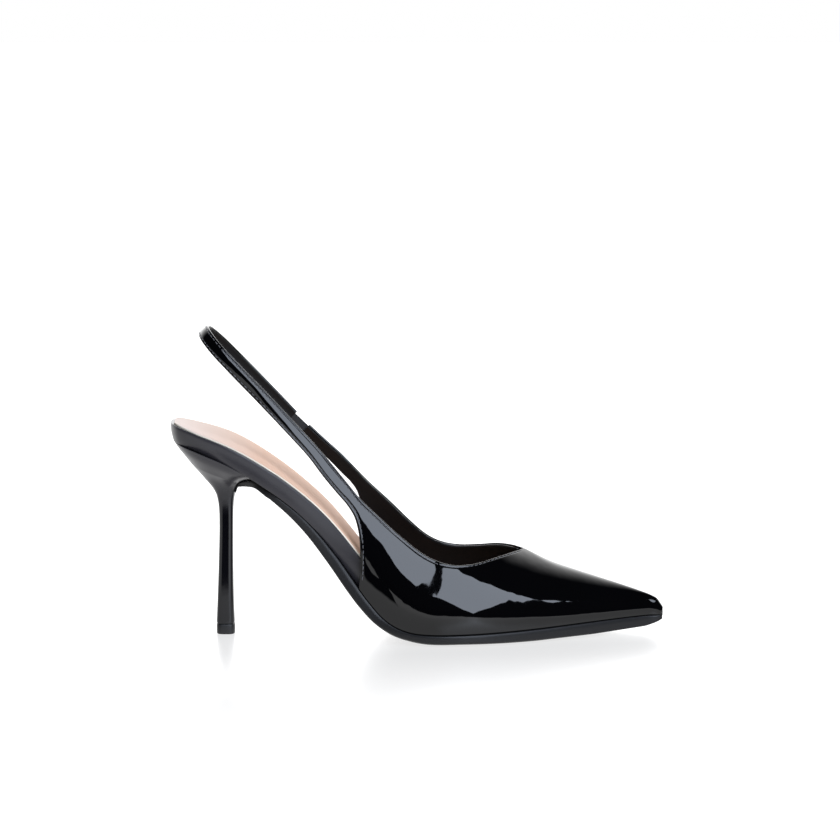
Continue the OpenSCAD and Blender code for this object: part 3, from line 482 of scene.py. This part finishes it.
# ---------- sewing ----------
def stitches(name, runs, length=1.8, pitch=2.4, radius=0.22):
    """Thread between the needle holes: one capsule for each stitch of each run of points and outward normals."""
    points, faces = [], []
    rings = [(-1.0, 0.0), (-0.92, 0.55), (-0.75, 0.9), (0.0, 1.0), (0.75, 0.9), (0.92, 0.55), (1.0, 0.0)]
    around = 8
    for line, out in runs:
        s = lengths(line)
        for middle in np.arange(pitch / 2, s[-1] - pitch / 2, pitch):
            c = np.array([np.interp(middle, s, line[:, k]) for k in range(3)])
            d = unit(np.array([np.interp(middle + 0.5, s, line[:, k]) for k in range(3)]) - c)
            u = unit(np.array([np.interp(middle, s, out[:, k]) for k in range(3)]))
            w = np.cross(d, u)
            start = len(points)
            for place, size in rings:
                sink = 0.18 * abs(place) ** 3
                for k in range(around):
                    a = 2 * math.pi * k / around
                    r = radius * max(size, 0.02)
                    points.append(c + d * (place * length / 2) + u * (r * math.cos(a) - sink) + w * r * math.sin(a))
            faces += tube_faces(len(rings), around, start)
            faces.append([start + k for k in range(around)])
            faces.append([start + (len(rings) - 1) * around + k for k in range(around)][::-1])
    return smooth_mesh(name, points, faces, merge=1e-7)


def wall_run(side, top):
    """Line of stitching beside the topline, or beside the rear edge, with its normals."""
    rows = np.linspace(0.0, THROAT - 0.5, 150) if top else np.linspace(0.0, REAR_END - 0.3, 90)
    line, out = [], []
    for u in rows:
        f = np.linspace(0, 1, 121)
        p = wall_point(u, f, side)
        s = lengths(p)
        place = s[-1] - stitch_inset(u) if top else stitch_inset(u)
        f0 = np.interp(place, s, f)
        q = wall_point(np.array([u, u, u + 0.05]), np.array([f0, f0 + 0.01, f0]), side)
        n = unit(np.cross(q[2] - q[0], q[1] - q[0])) * -side
        line.append(q[0] - n * 0.06)
        out.append(n)
    return np.array(line), np.array(out)


def strap_runs(p, n):
    """Stitching along both edges of the strap."""
    s = np.array([lengths(q) for q in p])
    runs = []
    for place in (STRAP_STITCH - 0.6, None):
        d = np.full(len(p), place) if place is not None else s[:, -1] - (STRAP_STITCH - 0.6)
        line = np.array([[np.interp(d[i], s[i], p[i, :, k]) for k in range(3)] for i in range(len(p))])
        out = np.array([[np.interp(d[i], s[i], n[i, :, k]) for k in range(3)] for i in range(len(p))])
        runs.append((line + out * 0.1, out))
    return runs


# ---------- bottom ----------
def outline_run():
    """The wrapped insole's outline at even steps, from the inner waist round the seat to the outer waist."""
    front = -21
    x = mix(front, -111.45, np.sin(np.pi / 2 * np.linspace(0, 1, 160)))
    inset = at(WRAP_IN, x)[:, 1]
    inner = np.stack([x, edge(x, 1) - inset], -1)
    outer = np.stack([x, edge(x, -1) + inset], -1)[::-1]
    line = np.concatenate([inner, outer])
    s = lengths(line)
    even = np.linspace(0, s[-1], 300)
    line = np.stack([np.interp(even, s, line[:, k]) for k in range(2)], -1)
    for _ in range(5):
        line[1:-1] += 0.5 * ((line[:-2] + line[2:]) / 2 - line[1:-1])
    d = unit(np.gradient(line, axis=0))
    return line, np.stack([-d[:, 1], d[:, 0]], -1)


def rand_piece():
    """Patent cover folded round the insole's edge: a slightly convex band with rounded corners."""
    line, inward = outline_run()
    line = line - inward * (0.6 * smooth(-line[:, 0], 100, 110))[:, None]
    profile = [(4.8, 0, 0.12), (1.9, 0, 0.12), (1.35, 0, 0.16), (1.1, 0, 0.4)]
    profile += [(1.05 * (1 - k / 12) - 0.35 * math.sin(math.pi * k / 12), 0.08 + 0.84 * k / 12, 0)
                for k in range(1, 12)]
    profile += [(0.05, 1, -0.34), (0.12, 1, -0.16), (0.3, 1, -0.04), (0.6, 1, 0), (1.6, 1, 0), (4.8, 1, 0)]
    profile += [(4.8, 1, -0.7), (0.9, 1, -0.7), (1.1, 0.5, 0), (1.7, 0, 0.8), (4.8, 0, 0.8)]
    loops = []
    for inset, level, up in profile:
        q = line + inward * inset
        x = q[:, 0]
        z = mix(feather(x), rim(x), level) + up * steep(x)
        loops.append(np.column_stack([q, z]))
    loops = np.stack(loops, 1)
    ring = loops.shape[1]
    ends = [tuple(range(ring)), tuple(range((len(loops) - 1) * ring, len(loops) * ring))]
    return smooth_mesh("rand", loops.reshape(-1, 3), tube_faces(len(loops), ring) + ends)


def pillow(name, x0, x1, inset, low, high, crown, lip):
    """A thin pad over the insole: flat below, rounded at its edge and crowned above."""
    n, m = 150, 28
    xs = mix(x0, x1, (1 - np.cos(np.pi * np.linspace(0, 1, n))) / 2)
    vs = np.sin(np.pi / 2 * np.linspace(-1, 1, m))
    x = xs[:, None] + 0 * vs
    a, b = edge(x, -1) + inset(x), edge(x, 1) - inset(x)
    middle, half = (a + b) / 2, np.maximum((b - a) / 2, 0.3)
    y = middle + half * vs
    from_edge = np.minimum(half * (1 - np.abs(vs)), np.minimum(x - x0, x1 - x) + 0.0)
    shoulder = np.sqrt(np.clip(1 - (1 - np.clip(from_edge / lip, 0, 1)) ** 2, 0, 1))
    base = rim(x) + low * steep(x)
    z = base + (high - low) * steep(x) * (0.25 + 0.75 * shoulder) + crown(x) * (1 - vs * vs) * shoulder
    top, under = np.stack([x, y, z], -1), np.stack([x, y, base], -1)
    loops = np.concatenate([top, under[:, ::-1]], 1)
    ring = 2 * m
    faces = tube_faces(n, ring)
    for first in (0, (n - 1) * ring):
        faces += [(first + j, first + j + 1, first + ring - 2 - j, first + ring - 1 - j) for j in range(m - 1)]
    return smooth_mesh(name, loops.reshape(-1, 3), faces)


LIP_SNUG = 0.45
TIP_SNUG = 0.3


def sole_piece():
    """Moulded outsole: lip on the heel breast, waist and forepart, with a rounded lower edge."""
    lip = along(LIP, np.linspace(0, 0.97, 40))
    x = np.concatenate([np.arange(-65.0, 14, 1.2), mix(14, 112.3, np.sin(np.pi / 2 * np.linspace(0, 1, 75)))])
    path = np.concatenate([lip, np.stack([x, feather(x) - 0.12 + TIP_SNUG * smooth(x, 108, 112)], -1)])
    d = unit(np.gradient(path, axis=0))
    for _ in range(3):
        d[1:-1] = unit((d[:-2] + 2 * d[1:-1] + d[2:]) / 4)
    up = np.stack([-d[:, 1], d[:, 0]], -1)
    path = path + up * (LIP_SNUG * (1 - smooth(path[:, 0], -74, -66)))[:, None]
    x = path[:, 0]
    on_lip = np.arange(len(path)) < len(lip)
    lip_w = at(LIP_W, x)[:, 1]
    inset = at(SOLE_IN, x)[:, 1]
    left = np.where(on_lip, -lip_w, edge(x, -1) + inset)
    right = np.where(on_lip, lip_w - 0.8, edge(x, 1) - inset)
    for _ in range(10):
        left[20:60] = (left[19:59] + 2 * left[20:60] + left[21:61]) / 4
        right[20:60] = (right[19:59] + 2 * right[20:60] + right[21:61]) / 4
    full = at(SOLE_T, x)[:, 1]
    soft = np.interp(x, [-83, -80, -60, -10, 50, 112], [0.1, 0.6, 0.7, 1.3, 1.3, 0.7])
    curve = np.interp(x, [-60, -20, -4, 20, 50, 80], [0, 0.8, 1.8, 1.7, 1.3, 0.0])
    section = [(v, 0.0, 0.0) for v in np.linspace(-1, 1, 15)[1:-1]]
    section = [(-1, -0.25, 0.0)] + section + [(1, -0.25, 0.0), (1, 0.0, 0.12), (1, 0.0, 0.35)]
    round_n = 7
    corner = [(1, math.sin(a), math.cos(a)) for a in np.linspace(0, math.pi / 2, round_n)]
    loops = []
    middle, half = (left + right) / 2, (right - left) / 2

    def place(y, depth):
        q = path - up * depth[:, None]
        return np.stack([q[:, 0], y, np.maximum(q[:, 1], 0)], -1)

    for v, back, depth in section[:-2]:
        loops.append(place(middle + half * v + (back if v > 0 else -back), 0 * x))
    for way in (1, -1):
        side_loops = [place(middle + way * half, np.full_like(x, 0.25))]
        side_loops.append(place(middle + way * half, (full - curve - soft) * 0.5))
        for one, s, c in corner:
            side_loops.append(place(middle + way * (half - soft * (1 - c)), full - curve - soft * (1 - s)))
        for v in (0.94, 0.86, 0.78, 0.7, 0.6, 0.45, 0.25):
            side_loops.append(place(middle + way * half * v, full - curve * v**4))
        if way > 0:
            loops += side_loops + [place(middle, full)]
        else:
            loops += side_loops[::-1]
    loops = np.stack(loops, 1)
    ring = loops.shape[1]
    ends = [tuple(range(ring)), tuple(range((len(loops) - 1) * ring, len(loops) * ring))]
    return smooth_mesh("outsole_moulded", loops.reshape(-1, 3), tube_faces(len(loops), ring) + ends)


# ---------- heel ----------
RING_N = 96
HEEL_TUCK = 0.2


def heel_rings(k, inset):
    """One ring of the heel at fractional section k, counted from the seat down."""
    r = along(HEEL, k / (len(HEEL) - 1))
    phi = np.linspace(0, 2 * np.pi, RING_N, endpoint=False)
    c, s = np.cos(phi), np.sin(phi)
    e = np.where(c > 0, r[5], r[6])
    q = (np.abs(c) ** e + np.abs(s) ** e) ** (-1 / e)
    x = mix(r[0] + inset, r[2] - inset, 0.5 - 0.5 * q * c)
    line = mix(r[1], r[3], (x - r[0]) / (r[2] - r[0]))
    seat = mix(HEEL[0, 1], HEEL[0, 3], (x - HEEL[0, 0]) / (HEEL[0, 2] - HEEL[0, 0]))
    hump = max(0, 1 - k / 2) * (feather(x) - seat)
    return np.stack([x, (r[4] - inset) * q * s, line + hump + HEEL_TUCK * max(0, 1 - k)], -1)


def heel_piece():
    """Patent-covered heel: a flared seat that narrows into the stiletto stem, open where the block fills it."""
    ks = np.concatenate([[0.0, 0.03, 0.08], np.linspace(0.15, len(HEEL) - 1, 120)])
    insets = np.concatenate([[0.5, 0.12, 0.0], np.zeros(119), [0.25]])
    outer = [heel_rings(k, i) for k, i in zip(ks, insets)]
    inner = [heel_rings(k, 0.65) for k in ks[::-1]]
    loops = np.array(outer + inner)
    faces = tube_faces(len(loops), RING_N)
    n = (len(loops) - 1) * RING_N
    faces += [(n + j, n + (j + 1) % RING_N, (j + 1) % RING_N, j) for j in range(RING_N)]
    return smooth_mesh("heel_cover_patent", loops.reshape(-1, 3), faces)


def tip_piece():
    """Replaceable heel tip with softened edges, standing a hair proud of the stem."""
    low, high = (np.array(v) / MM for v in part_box("heel_tip"))
    c, half = (low + high) / 2, (high - low) / 2
    phi = np.linspace(0, 2 * np.pi, 64, endpoint=False)
    q = (np.abs(np.cos(phi)) ** 3.6 + np.abs(np.sin(phi)) ** 3.6) ** (-1 / 3.6)
    levels = [(0.0, 0.55), (0.08, 0.3), (0.3, 0.08), (0.7, 0.0), (high[2] - 0.5, 0.0), (high[2] - 0.15, 0.1),
              (high[2], 0.35)]
    loops = np.array([np.stack([c[0] - (half[0] - i) * q * np.cos(phi), (half[1] - i) * q * np.sin(phi),
                                np.full_like(phi, z)], -1) for z, i in levels])
    faces = tube_faces(len(levels), 64) + [tuple(range(64)), tuple(range(6 * 64, 7 * 64))]
    return smooth_mesh("heel_tip_rubber", loops.reshape(-1, 3), faces)


# ---------- elastic ----------
def gore_piece():
    """Ribbed elastic between the inner tab and the strap's end."""
    start, end = TAB[3, :3], SLING[-1]
    ribs, around = 90, 28
    t = np.linspace(-0.35, 1.25, ribs)
    d = unit(end - start)
    out = unit(np.cross(d, ACROSS))
    loops = []
    for i, one in enumerate(t):
        thick = 0.42 + 0.05 * (i % 2)
        c = mix(start, end, one) + out * 0.1
        a = np.linspace(0, 2 * np.pi, around, endpoint=False)
        wide = np.sign(np.cos(a)) * np.abs(np.cos(a)) ** 0.35 * 1.9
        deep = np.sign(np.sin(a)) * np.abs(np.sin(a)) ** 0.55 * thick
        deep += 0.05 * np.sin(wide * 2 * np.pi / 0.8) * np.sign(np.sin(a)) * (np.abs(np.sin(a)) > 0.5)
        loops.append(c + np.outer(wide, ACROSS) + np.outer(deep, out))
    loops = np.array(loops)
    ends = [tuple(range(around)), tuple(range((ribs - 1) * around, ribs * around))]
    return smooth_mesh("elastic_gore_woven", loops.reshape(-1, 3), tube_faces(ribs, around) + ends)


SOCK_CUT = 0.3


def sock_inset(x):
    """Distance of the sock's cut edge from the insole's outline."""
    return np.interp(x, [-40, -26], [1.3, 3.2])


# ---------- materials ----------
def material(name, colour, roughness, grain=None, bump=0.0, scale=400.0, variation=0.15, **sockets):
    """A principled material with procedural colour variation and bump; grain picks the texture."""
    m = bpy.data.materials.new(name)
    m.use_nodes = True
    tree = m.node_tree
    shader = tree.nodes["Principled BSDF"]
    shader.inputs["Roughness"].default_value = roughness
    for socket, value in sockets.items():
        shader.inputs[socket.replace("_", " ")].default_value = value
    place = tree.nodes.new("ShaderNodeTexCoord")
    if grain == "cell":
        texture = tree.nodes.new("ShaderNodeTexVoronoi")
        texture.inputs["Scale"].default_value = scale
        height = texture.outputs["Distance"]
    elif grain == "rib":
        texture = tree.nodes.new("ShaderNodeTexWave")
        texture.bands_direction = "DIAGONAL"
        texture.inputs["Scale"].default_value = scale
        texture.inputs["Distortion"].default_value = 0.6
        height = texture.outputs["Fac"]
    else:
        texture = tree.nodes.new("ShaderNodeTexNoise")
        texture.inputs["Scale"].default_value = scale
        texture.inputs["Detail"].default_value = 3.0
        height = texture.outputs["Fac"]
    tree.links.new(place.outputs["Object"], texture.inputs["Vector"])
    ramp = tree.nodes.new("ShaderNodeValToRGB")
    dark = [c * (1 - variation) for c in colour]
    light = [min(1.0, c * (1 + variation)) for c in colour]
    ramp.color_ramp.elements[0].color = (*dark, 1)
    ramp.color_ramp.elements[1].color = (*light, 1)
    tree.links.new(height, ramp.inputs["Fac"])
    tree.links.new(ramp.outputs["Color"], shader.inputs["Base Color"])
    if bump:
        relief = tree.nodes.new("ShaderNodeBump")
        relief.inputs["Strength"].default_value = 1.0
        relief.inputs["Distance"].default_value = bump * MM
        tree.links.new(height, relief.inputs["Height"])
        tree.links.new(relief.outputs["Normal"], shader.inputs["Normal"])
    return m


def wear(piece, made):
    piece.data.materials.clear()
    piece.data.materials.append(made)


patent = material("patent_black", (0.0012, 0.0012, 0.0016), 0.035, bump=0.35, scale=38)
# The rand's black patent gets a grey base colour: painted sheen standing in for the floor's reflection.
rand_patent_painted_sheen = material("patent_edge_painted_sheen", (0.03, 0.0285, 0.034), 0.3, bump=0.12, scale=70)
heel_patent_painted_sheen = material("patent_heel_painted_sheen", (0.003, 0.003, 0.0045), 0.09, bump=0.1, scale=60)
lining_leather = material("lining_black", (0.0035, 0.003, 0.003), 0.5, "cell", bump=0.05, scale=1800,
                          Specular_IOR_Level=0.2)
backing = material("backing_cloth", (0.26, 0.255, 0.24), 0.9, "rib", bump=0.05, scale=900)
puff_felt = material("puff_felt", (0.48, 0.4, 0.26), 0.85, bump=0.08, scale=900)
thread_dark = material("thread_black", (0.1, 0.1, 0.108), 0.38, "rib", bump=0.04, scale=1500)
fibre_board = material("fibre_board", (0.4, 0.26, 0.12), 0.85, bump=0.06, scale=700)
spring_steel = material("spring_steel", (0.45, 0.47, 0.5), 0.3, bump=0.01, scale=500, Metallic=1.0)
cork_filler = material("cork_filler", (0.55, 0.4, 0.2), 0.9, "cell", bump=0.1, scale=900)
sock_edge_and_painted_highlight = material("sock_edge_and_painted_highlight", (0.85, 0.78, 0.66), 0.6, bump=0.02, scale=900, variation=0.03,
                     Specular_IOR_Level=0.1)
sock_painted_light = material("sock_blush_painted_light", (0.8, 0.52, 0.38), 0.5, "cell", bump=0.03, scale=1500,
                 Specular_IOR_Level=0.02)
white_foam = material("white_foam", (0.8, 0.76, 0.65), 0.9, "cell", bump=0.05, scale=1200)
sole_rubber = material("sole_black", (0.014, 0.014, 0.015), 0.36, bump=0.04, scale=600, Specular_IOR_Level=0.28)
heel_plastic = material("heel_plastic", (0.04, 0.04, 0.042), 0.4, bump=0.02, scale=500)
tip_rubber = material("tip_black", (0.01, 0.01, 0.011), 0.42, bump=0.03, scale=800)
elastic_weave = material("elastic_black", (0.009, 0.009, 0.01), 0.65, "rib", bump=0.08, scale=1100)



def change_along(made, axis, low, high, colours, gloss):
    """Fades a material's colour and roughness from one end of a range to the other, along an object axis."""
    tree = made.node_tree
    shader = tree.nodes["Principled BSDF"]
    place, parts = tree.nodes.new("ShaderNodeTexCoord"), tree.nodes.new("ShaderNodeSeparateXYZ")
    tint = tree.nodes.new("ShaderNodeValToRGB")
    for element, colour in zip(tint.color_ramp.elements, colours):
        element.color = (*colour, 1)
    tree.links.new(place.outputs["Object"], parts.inputs[0])
    for ends, target in (((0, 1), tint.inputs["Fac"]), (gloss, shader.inputs["Roughness"])):
        fade = tree.nodes.new("ShaderNodeMapRange")
        fade.inputs["From Min"].default_value = low
        fade.inputs["From Max"].default_value = high
        fade.inputs["To Min"].default_value, fade.inputs["To Max"].default_value = ends
        tree.links.new(parts.outputs[axis], fade.inputs["Value"])
        tree.links.new(fade.outputs["Result"], target)
    tree.links.new(tint.outputs["Color"], shader.inputs["Base Color"])


# The heel cover fades from the black stem to the rand's grey between 55 and 70 mm height: painted sheen on the seat,
# standing in for the floor's reflection; its roughness rises there too.
change_along(heel_patent_painted_sheen, "Z", 0.055, 0.07, [(0.003, 0.003, 0.0045), (0.03, 0.0285, 0.034)], (0.09, 0.3))
# The sock is painted paler and lighter towards its heel end: painted light falling from behind and above.
change_along(sock_painted_light, "X", -0.11, -0.07, [(0.92, 0.77, 0.68), (0.8, 0.52, 0.375)], (0.5, 0.5))

# ---------- pieces ----------
upper, upper_roots = upper_piece("upper_patent", PATENT, 0.0, 0.0, True, len(U_ROWS))
lining, lining_roots = upper_piece("upper_lining_leather", LINING, 0.45, 0.45, False, THROAT_I + 60)
strap, strap_p, strap_n = sling_piece("sling_patent", PATENT, 0.0, upper_roots[-1])
strap_back, _, _ = sling_piece("sling_lining_leather", LINING, 0.45, lining_roots[-1])
shoe_sewing = stitches("upper_sewing", [wall_run(side, top) for side in (-1, 1) for top in (True, False)])
sling_sewing = stitches("sling_sewing", strap_runs(strap_p, strap_n))
rand = rand_piece()
sock = pillow("sock_padded", -110.2, 93.5, sock_inset, 0.1, 0.9,
              lambda x: np.interp(x, [-98, -70, 94], [0, 0.8, 0.8]), 0.8)
outsole = sole_piece()
heel = heel_piece()
tip = tip_piece()
gore = gore_piece()

for piece, made, slot, replaced in [
        (upper, patent, "patent", ["upper_outer", "quarter_tab"]),
        (lining, lining_leather, "lining", ["upper_lining", "quarter_tab_lining"]),
        (strap, patent, "patent", ["sling_strap"]),
        (strap_back, lining_leather, "lining", ["sling_strap_lining"]),
        (shoe_sewing, thread_dark, "thread", ["topline_stitching", "quarter_stitching"]),
        (sling_sewing, thread_dark, "thread", ["sling_stitching"]),
        (rand, rand_patent_painted_sheen, "patent", ["insole_wrap"]),
        (sock, sock_painted_light, "sock", ["sock"]),
        (outsole, sole_rubber, "sole_rubber", ["outsole"]),
        (heel, heel_patent_painted_sheen, "patent", ["heel_cover"]),
        (tip, tip_rubber, "tip_rubber", ["heel_tip"]),
        (gore, elastic_weave, "elastic", ["elastic_gore"])]:
    wear(piece, made)
    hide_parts(*replaced)

# Faces within SOCK_CUT of the sock's cut edge take the cream edge material: the raw edge's own colour plus a painted
# highlight along its rounded lip.
sock.data.materials.append(sock_edge_and_painted_highlight)
for face in sock.data.polygons:
    x, y = face.center.x / MM, face.center.y / MM
    from_cut = min(y - edge(x, -1), edge(x, 1) - y) - sock_inset(x)
    face.material_index = int(from_cut < SOCK_CUT)
for piece in (rand, sock, outsole, heel, tip):
    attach(piece, "shoe")

# The upper, its lining, the strap, its lining, their sewing and the elastic have their transforms baked into their
# meshes
UP_THE_STRAP = unit(np.array([-0.695, 0, 0.719]))
for piece in (upper, lining, shoe_sewing):
    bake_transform(piece)
for piece in (strap, strap_back, sling_sewing):
    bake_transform(piece)
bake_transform(gore)

for name, made in {
        "vamp_interlining": backing, "toe_puff": puff_felt, "topline_tape_lateral": backing,
        "topline_tape_medial": backing, "insole_board": fibre_board, "shank_board": fibre_board,
        "shank_steel": spring_steel, "shank_rivets": spring_steel, "bottom_filler": cork_filler,
        "heel_pad": white_foam, "forefoot_pad": white_foam, "heel_core": heel_plastic,
        "heel_tube": spring_steel, "heel_screw": spring_steel, "heel_nails": spring_steel,
        "heel_tip_pin": spring_steel, "gore_stitching": thread_dark}.items():
    wear(nodes[name], made)

# ---------- studio ----------
FLOOR_HALF = 6.0
floor_mesh = bpy.data.meshes.new("floor")
floor_mesh.from_pydata([(-FLOOR_HALF, -FLOOR_HALF, 0), (FLOOR_HALF, -FLOOR_HALF, 0), (FLOOR_HALF, FLOOR_HALF, 0),
                        (-FLOOR_HALF, FLOOR_HALF, 0)], [], [(0, 1, 2, 3)])
floor = bpy.data.objects.new("floor", floor_mesh)
bpy.context.scene.collection.objects.link(floor)
white = bpy.data.materials.new("floor_white")
white.use_nodes = True
surface = white.node_tree.nodes["Principled BSDF"]
surface.inputs["Base Color"].default_value = (0.1, 0.1, 0.1, 1)
surface.inputs["Roughness"].default_value = 0.28
surface.inputs["Specular IOR Level"].default_value = 0.5
surface.inputs["Emission Color"].default_value = (1, 1, 1, 1)
ground = white.node_tree.nodes.new("ShaderNodeTexCoord")
ground_parts = white.node_tree.nodes.new("ShaderNodeSeparateXYZ")
glow = white.node_tree.nodes.new("ShaderNodeMapRange")
glow.inputs["From Min"].default_value = -0.05
glow.inputs["From Max"].default_value = -0.24
glow.inputs["To Min"].default_value = 0.725
glow.inputs["To Max"].default_value = 1.0
white.node_tree.links.new(ground.outputs["Object"], ground_parts.inputs[0])
white.node_tree.links.new(ground_parts.outputs["Y"], glow.inputs["Value"])
white.node_tree.links.new(glow.outputs["Result"], surface.inputs["Emission Strength"])
wear(floor, white)

world = bpy.data.worlds.new("studio")
bpy.context.scene.world = world
world.use_nodes = True
tree = world.node_tree
tree.nodes.clear()
output = tree.nodes.new("ShaderNodeOutputWorld")
backdrop = tree.nodes.new("ShaderNodeBackground")
backdrop.inputs["Color"].default_value = (1, 1, 1, 1)
room = tree.nodes.new("ShaderNodeBackground")
direction = tree.nodes.new("ShaderNodeTexCoord")
split = tree.nodes.new("ShaderNodeSeparateXYZ")
tree.links.new(direction.outputs["Generated"], split.inputs[0])
depth = tree.nodes.new("ShaderNodeMapRange")
depth.inputs["From Min"].default_value = 0.3
depth.inputs["From Max"].default_value = 0.95
depth.inputs["To Min"].default_value = 0.004
depth.inputs["To Max"].default_value = 1.5
depth.interpolation_type = "SMOOTHSTEP"
rise = tree.nodes.new("ShaderNodeMapRange")
rise.inputs["From Min"].default_value = 0.0
rise.inputs["From Max"].default_value = 0.2
rise.inputs["To Min"].default_value = 0.7
rise.inputs["To Max"].default_value = 2.6
both = tree.nodes.new("ShaderNodeMath")
both.operation = "MULTIPLY"
tree.links.new(split.outputs["Y"], depth.inputs["Value"])
tree.links.new(split.outputs["Z"], rise.inputs["Value"])
tree.links.new(depth.outputs["Result"], both.inputs[0])
tree.links.new(rise.outputs["Result"], both.inputs[1])
tree.links.new(both.outputs[0], room.inputs["Strength"])
path = tree.nodes.new("ShaderNodeLightPath")
choose = tree.nodes.new("ShaderNodeMixShader")
tree.links.new(path.outputs["Is Camera Ray"], choose.inputs["Fac"])
tree.links.new(room.outputs[0], choose.inputs[1])
tree.links.new(backdrop.outputs[0], choose.inputs[2])
tree.links.new(choose.outputs[0], output.inputs["Surface"])


def flag(name, low, high, soft):
    """A black card in front of the heel that only reflections see, fading out over its lowest part."""
    mesh = bpy.data.meshes.new(name)
    (x0, y, z0), (x1, _, z1) = low, high
    mesh.from_pydata([(x0, y, z0), (x1, y, z0), (x1, y, z1), (x0, y, z1)], [], [(0, 1, 2, 3)])
    card = bpy.data.objects.new(name, mesh)
    bpy.context.scene.collection.objects.link(card)
    card.visible_camera = False
    card.visible_shadow = False
    card.visible_diffuse = False
    black = bpy.data.materials.new(name)
    black.use_nodes = True
    made = black.node_tree
    made.nodes.clear()
    where = made.nodes.new("ShaderNodeTexCoord")
    parts = made.nodes.new("ShaderNodeSeparateXYZ")
    fade = made.nodes.new("ShaderNodeMapRange")
    fade.interpolation_type = "SMOOTHSTEP"
    fade.inputs["From Min"].default_value = z0
    fade.inputs["From Max"].default_value = z0 + soft
    clear = made.nodes.new("ShaderNodeBsdfTransparent")
    dark = made.nodes.new("ShaderNodeBsdfDiffuse")
    dark.inputs["Color"].default_value = (0.004, 0.004, 0.004, 1)
    blend = made.nodes.new("ShaderNodeMixShader")
    result = made.nodes.new("ShaderNodeOutputMaterial")
    made.links.new(where.outputs["Object"], parts.inputs[0])
    made.links.new(parts.outputs["Z"], fade.inputs["Value"])
    made.links.new(fade.outputs["Result"], blend.inputs["Fac"])
    made.links.new(clear.outputs[0], blend.inputs[1])
    made.links.new(dark.outputs[0], blend.inputs[2])
    made.links.new(blend.outputs[0], result.inputs["Surface"])
    wear(card, black)


def softbox(name, place, target, size, energy, colour=(1, 1, 1), roll=0.0):
    """A rectangular area light at a place in metres, facing a target, rolled about its own axis."""
    light = bpy.data.lights.new(name, "AREA")
    light.shape = "RECTANGLE"
    light.size, light.size_y = size
    light.energy = energy
    light.color = colour
    lamp = bpy.data.objects.new(name, light)
    bpy.context.scene.collection.objects.link(lamp)
    lamp.location = place
    lamp.rotation_mode = "QUATERNION"
    facing = Vector(tuple(np.array(target) - np.array(place))).to_track_quat("-Z", "Y")
    lamp.rotation_quaternion = facing @ Quaternion((0, 0, 1), roll)
    lamp.visible_camera = False
    return lamp


flag("flag", (-0.16, -0.12, 0.0), (-0.066, -0.12, 0.045), 0.008)

KEY_DISTANCE = 1.4
KEY_ELEVATION = math.radians(39)
KEY_TURN = math.radians(25.5)
KEY_ROLL = math.radians(-38)
KEY_PLACE = KEY_DISTANCE * np.array([math.sin(KEY_TURN) * math.cos(KEY_ELEVATION),
                                     -math.cos(KEY_TURN) * math.cos(KEY_ELEVATION), math.sin(KEY_ELEVATION)])
softbox("key", KEY_PLACE, (0, 0, 0.03), (1.0, 1.37), 24.0, (0.78, 0.86, 1.0), KEY_ROLL)

# ---------- camera ----------
AIM = np.array([0.0012, 0, 0.0983])
CAMERA_DISTANCE = 1.8
CAMERA_ELEVATION = math.radians(8)
camera_data = bpy.data.cameras.new("camera")
camera_data.sensor_width = 36
camera_data.lens = 169.7
camera = bpy.data.objects.new("camera", camera_data)
bpy.context.scene.collection.objects.link(camera)
camera.location = AIM + CAMERA_DISTANCE * np.array([0, -math.cos(CAMERA_ELEVATION), math.sin(CAMERA_ELEVATION)])
camera.rotation_euler = (math.pi / 2 - CAMERA_ELEVATION, 0, 0)
bpy.context.scene.camera = camera
bpy.context.scene.view_settings.view_transform = "Standard"
